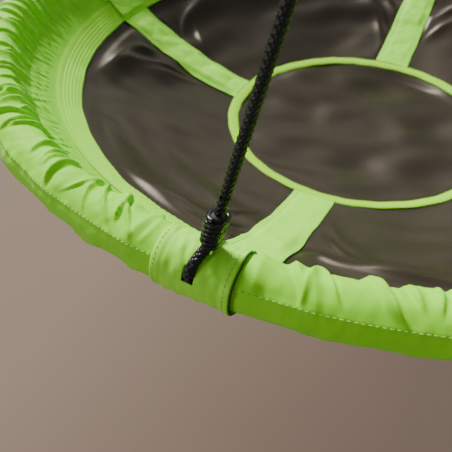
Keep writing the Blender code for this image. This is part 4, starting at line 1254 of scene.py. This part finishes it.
def upright(base, rows, outline):
    """Rows of one outline stacked upwards, each with its own height and share of the width."""
    flat = np.array([[(x * share, y * deep) for x, y in outline] for _, share, deep in rows])
    heights = np.array([[row[0]] * len(outline) for row in rows])
    return base + np.concatenate([flat, heights[..., None]], axis=-1)


def gate(side):
    """Round gate bar forked into two cheeks over the hook's lug."""
    base, sx = hook_spot(side)
    base = base + np.array([sx * HOOK_HALF_W, 0.0, 0.0])
    whole = [(GATE_R * math.cos(t), GATE_R * math.sin(t)) for t in circle(28)]
    top = HINGE_Z - 0.0052
    bar_rows = [(GATE_LOW, 0.003, 0.003), (GATE_LOW, 0.84, 0.84), (GATE_LOW + 0.0003, 0.96, 0.96),
                (GATE_LOW + 0.0008, 1.0, 1.0), (GATE_LOW + 0.0030, 1.0, 1.0), (GATE_LOW + 0.0034, 0.93, 0.93),
                (GATE_LOW + 0.0038, 1.0, 1.0), (top - 0.0003, 1.0, 1.0), (top, 0.97, 0.97), (top, 0.003, 0.003)]
    points = upright(base, bar_rows, whole)
    pieces = [grid_object("gate_bar_" + side, points, MATS["bright"], close_v=True, flip=True)]
    edge = math.asin(FORK_GAP / GATE_R)
    arc = [(GATE_R * math.cos(t), GATE_R * math.sin(t)) for t in np.linspace(edge, math.pi - edge, 17)]
    chord = [(x, FORK_GAP) for x in np.linspace(arc[-1][0], arc[0][0], 7)[1:-1]]
    cheek_rows = [(top - 0.0004, 1.0, 1.0), (HINGE_Z + 0.0008, 1.0, 1.0), (HINGE_Z + 0.0018, 0.96, 1.0),
                  (HINGE_Z + 0.0026, 0.84, 1.0), (HINGE_Z + 0.0032, 0.60, 0.99), (HINGE_Z + 0.0034, 0.30, 0.97),
                  (HINGE_Z + 0.0034, 0.003, 0.9)]
    for name, sign in (("back", 1.0), ("front", -1.0)):
        outline = [(x, sign * y) for x, y in arc + chord]
        points = upright(base, cheek_rows, outline)
        pieces.append(grid_object("gate_cheek_" + name + "_" + side, points, MATS["bright"], close_v=True,
                                  flip=sign > 0))
    place_all(pieces, "gate_" + side, BRIGHT_STEEL, "hook_gate_" + side)


def gate_pin(side):
    """Rivet through the gate's cheeks, with low domed heads."""
    base, sx = hook_spot(side)
    centre = base + np.array([sx * HOOK_HALF_W, 0.0, HINGE_Z])
    line = [(-0.0043, CLOSED), (-0.0042, 0.0010), (-0.0040, 0.0016), (-0.0037, 0.0019), (-0.0036, 0.0012),
            (0.0036, 0.0012), (0.0037, 0.0019), (0.0040, 0.0016), (0.0042, 0.0010), (0.0043, CLOSED)]
    points = np.array([[centre + (r * math.cos(t), y, r * math.sin(t)) for t in circle(24)] for y, r in line])
    obj = grid_object("gate_rivet_" + side, points, MATS["steel"], close_v=True)
    place(obj, "hooks", "galvanised_steel", "gate_pin_" + side)


# ---------------------------------------------------------------- floor, light and camera
FLOOR_Z = -1.1
FLOOR_HALF = 40
CAMERA_SPOT = (0.5599, -0.3920, 0.4448)
CAMERA_TURN = 162.24
CAMERA_PITCH = 45.0
CAMERA_FOCUS = 0.36
CAMERA_STOP = 14.0
CAMERA_LENS = 39.82


def floor():
    m = Nodes("pale_floor")
    split = m.add("ShaderNodeSeparateXYZ")
    m.link(m.place, split.inputs[0])
    # the floor is painted darker towards +x and +y as a painted light falloff, with slow random tone changes on
    # top
    across = m.math("ADD", m.scaled(split.outputs[0], -0.55), m.scaled(split.outputs[1], -0.60))
    slow = m.noise(m.place, 1.1, 2.0)
    tone = m.math("ADD", m.math("ADD", across, 0.10), m.scaled(slow, 0.25))
    tone.node.use_clamp = True
    m.set(Base_Color=m.mix(tone, (0.082, 0.057, 0.044), (0.165, 0.119, 0.092)), Roughness=0.9)
    verts = [(x * FLOOR_HALF, y * FLOOR_HALF, FLOOR_Z) for x, y in ((-1, -1), (1, -1), (1, 1), (-1, 1))]
    obj = make_object("floor", verts, [[0, 1, 2, 3]], m.mat, smooth_shade=False)


def toward(azimuth, elevation):
    a, e = math.radians(azimuth), math.radians(elevation)
    return Vector((math.cos(a) * math.cos(e), math.sin(a) * math.cos(e), math.sin(e)))


def aim(light, azimuth, elevation, distance, target):
    back = toward(azimuth, elevation)
    light.location = Vector(target) + back * distance
    light.rotation_euler = back.to_track_quat("Z", "Y").to_euler()


def area_light(name, azimuth, elevation, distance, size, power, colour, target=(0.30, -0.25, 0.15)):
    data = bpy.data.lights.new(name, "AREA")
    data.shape = "DISK"
    data.size = size
    data.energy = power
    data.color = colour
    aim(add_to_scene(name, data), azimuth, elevation, distance, target)


def sun_light(name, azimuth, elevation, spread, power, colour):
    data = bpy.data.lights.new(name, "SUN")
    data.angle = math.radians(spread)
    data.energy = power
    data.color = colour
    aim(add_to_scene(name, data), azimuth, elevation, 4.0, (0.0, 0.0, 0.0))


def sky(strength):
    world = bpy.data.worlds.new("soft_sky")
    bpy.context.scene.world = world
    world.use_nodes = True
    tree = world.node_tree
    back = tree.nodes["Background"]
    ramp = tree.nodes.new("ShaderNodeValToRGB")
    ramp.color_ramp.elements[0].color = (0.62, 0.52, 0.44, 1)
    ramp.color_ramp.elements[1].color = (0.86, 0.92, 1.0, 1)
    ramp.color_ramp.elements[0].position = 0.35
    ramp.color_ramp.elements[1].position = 0.75
    coord = tree.nodes.new("ShaderNodeTexCoord")
    split = tree.nodes.new("ShaderNodeSeparateXYZ")
    half = tree.nodes.new("ShaderNodeMath")
    half.operation = "MULTIPLY_ADD"
    half.inputs[1].default_value = 0.5
    half.inputs[2].default_value = 0.5
    tree.links.new(coord.outputs["Generated"], split.inputs[0])
    tree.links.new(split.outputs[2], half.inputs[0])
    tree.links.new(half.outputs[0], ramp.inputs[0])
    tree.links.new(ramp.outputs[0], back.inputs[0])
    back.inputs[1].default_value = strength


def camera():
    data = bpy.data.cameras.new("camera")
    data.sensor_width = 36.0
    data.lens = CAMERA_LENS
    data.clip_start = 0.01
    data.clip_end = 100.0
    data.dof.use_dof = True
    data.dof.focus_distance = CAMERA_FOCUS
    data.dof.aperture_fstop = CAMERA_STOP
    obj = add_to_scene("camera", data)
    obj.location = CAMERA_SPOT
    obj.rotation_euler = toward(CAMERA_TURN, -CAMERA_PITCH).to_track_quat("-Z", "Y").to_euler()
    bpy.context.scene.camera = obj


# ---------------------------------------------------------------- the swing and its surroundings
for panel, first in PANELS.items():
    cover_panel(panel, first)
hem_band()
seat_cloth_piece()
centre_ring()
for quad, azimuth in QUADS.items():
    strap_and_cuff(quad, azimuth)
    rope_leg(quad)
    rim_loop(quad)
    rope_throat(quad)
    whipping(quad)
    adjuster(quad)
    polish("frame_tube_" + quad, MATS["steel"])
    polish("frame_screw_" + quad, MATS["bright"])
for panel in PANELS:
    polish("foam_sleeve_" + panel, MATS["foam"])
for hand in ("right", "left"):
    hanging_ring(hand)
    snap_hook(hand)
    gate(hand)
    gate_pin(hand)

floor()
sun_light("key", 188.0, 44.0, 16.0, 7.4, (1.0, 0.965, 0.87))
area_light("window", 148.0, 17.0, 2.2, 0.9, 5.6, (1.0, 0.90, 0.78), (0.0, 0.0, 0.02))
area_light("fill", -82.0, 6.0, 4.0, 2.0, 46.0, (0.95, 0.97, 1.0))
sky(0.32)
camera()
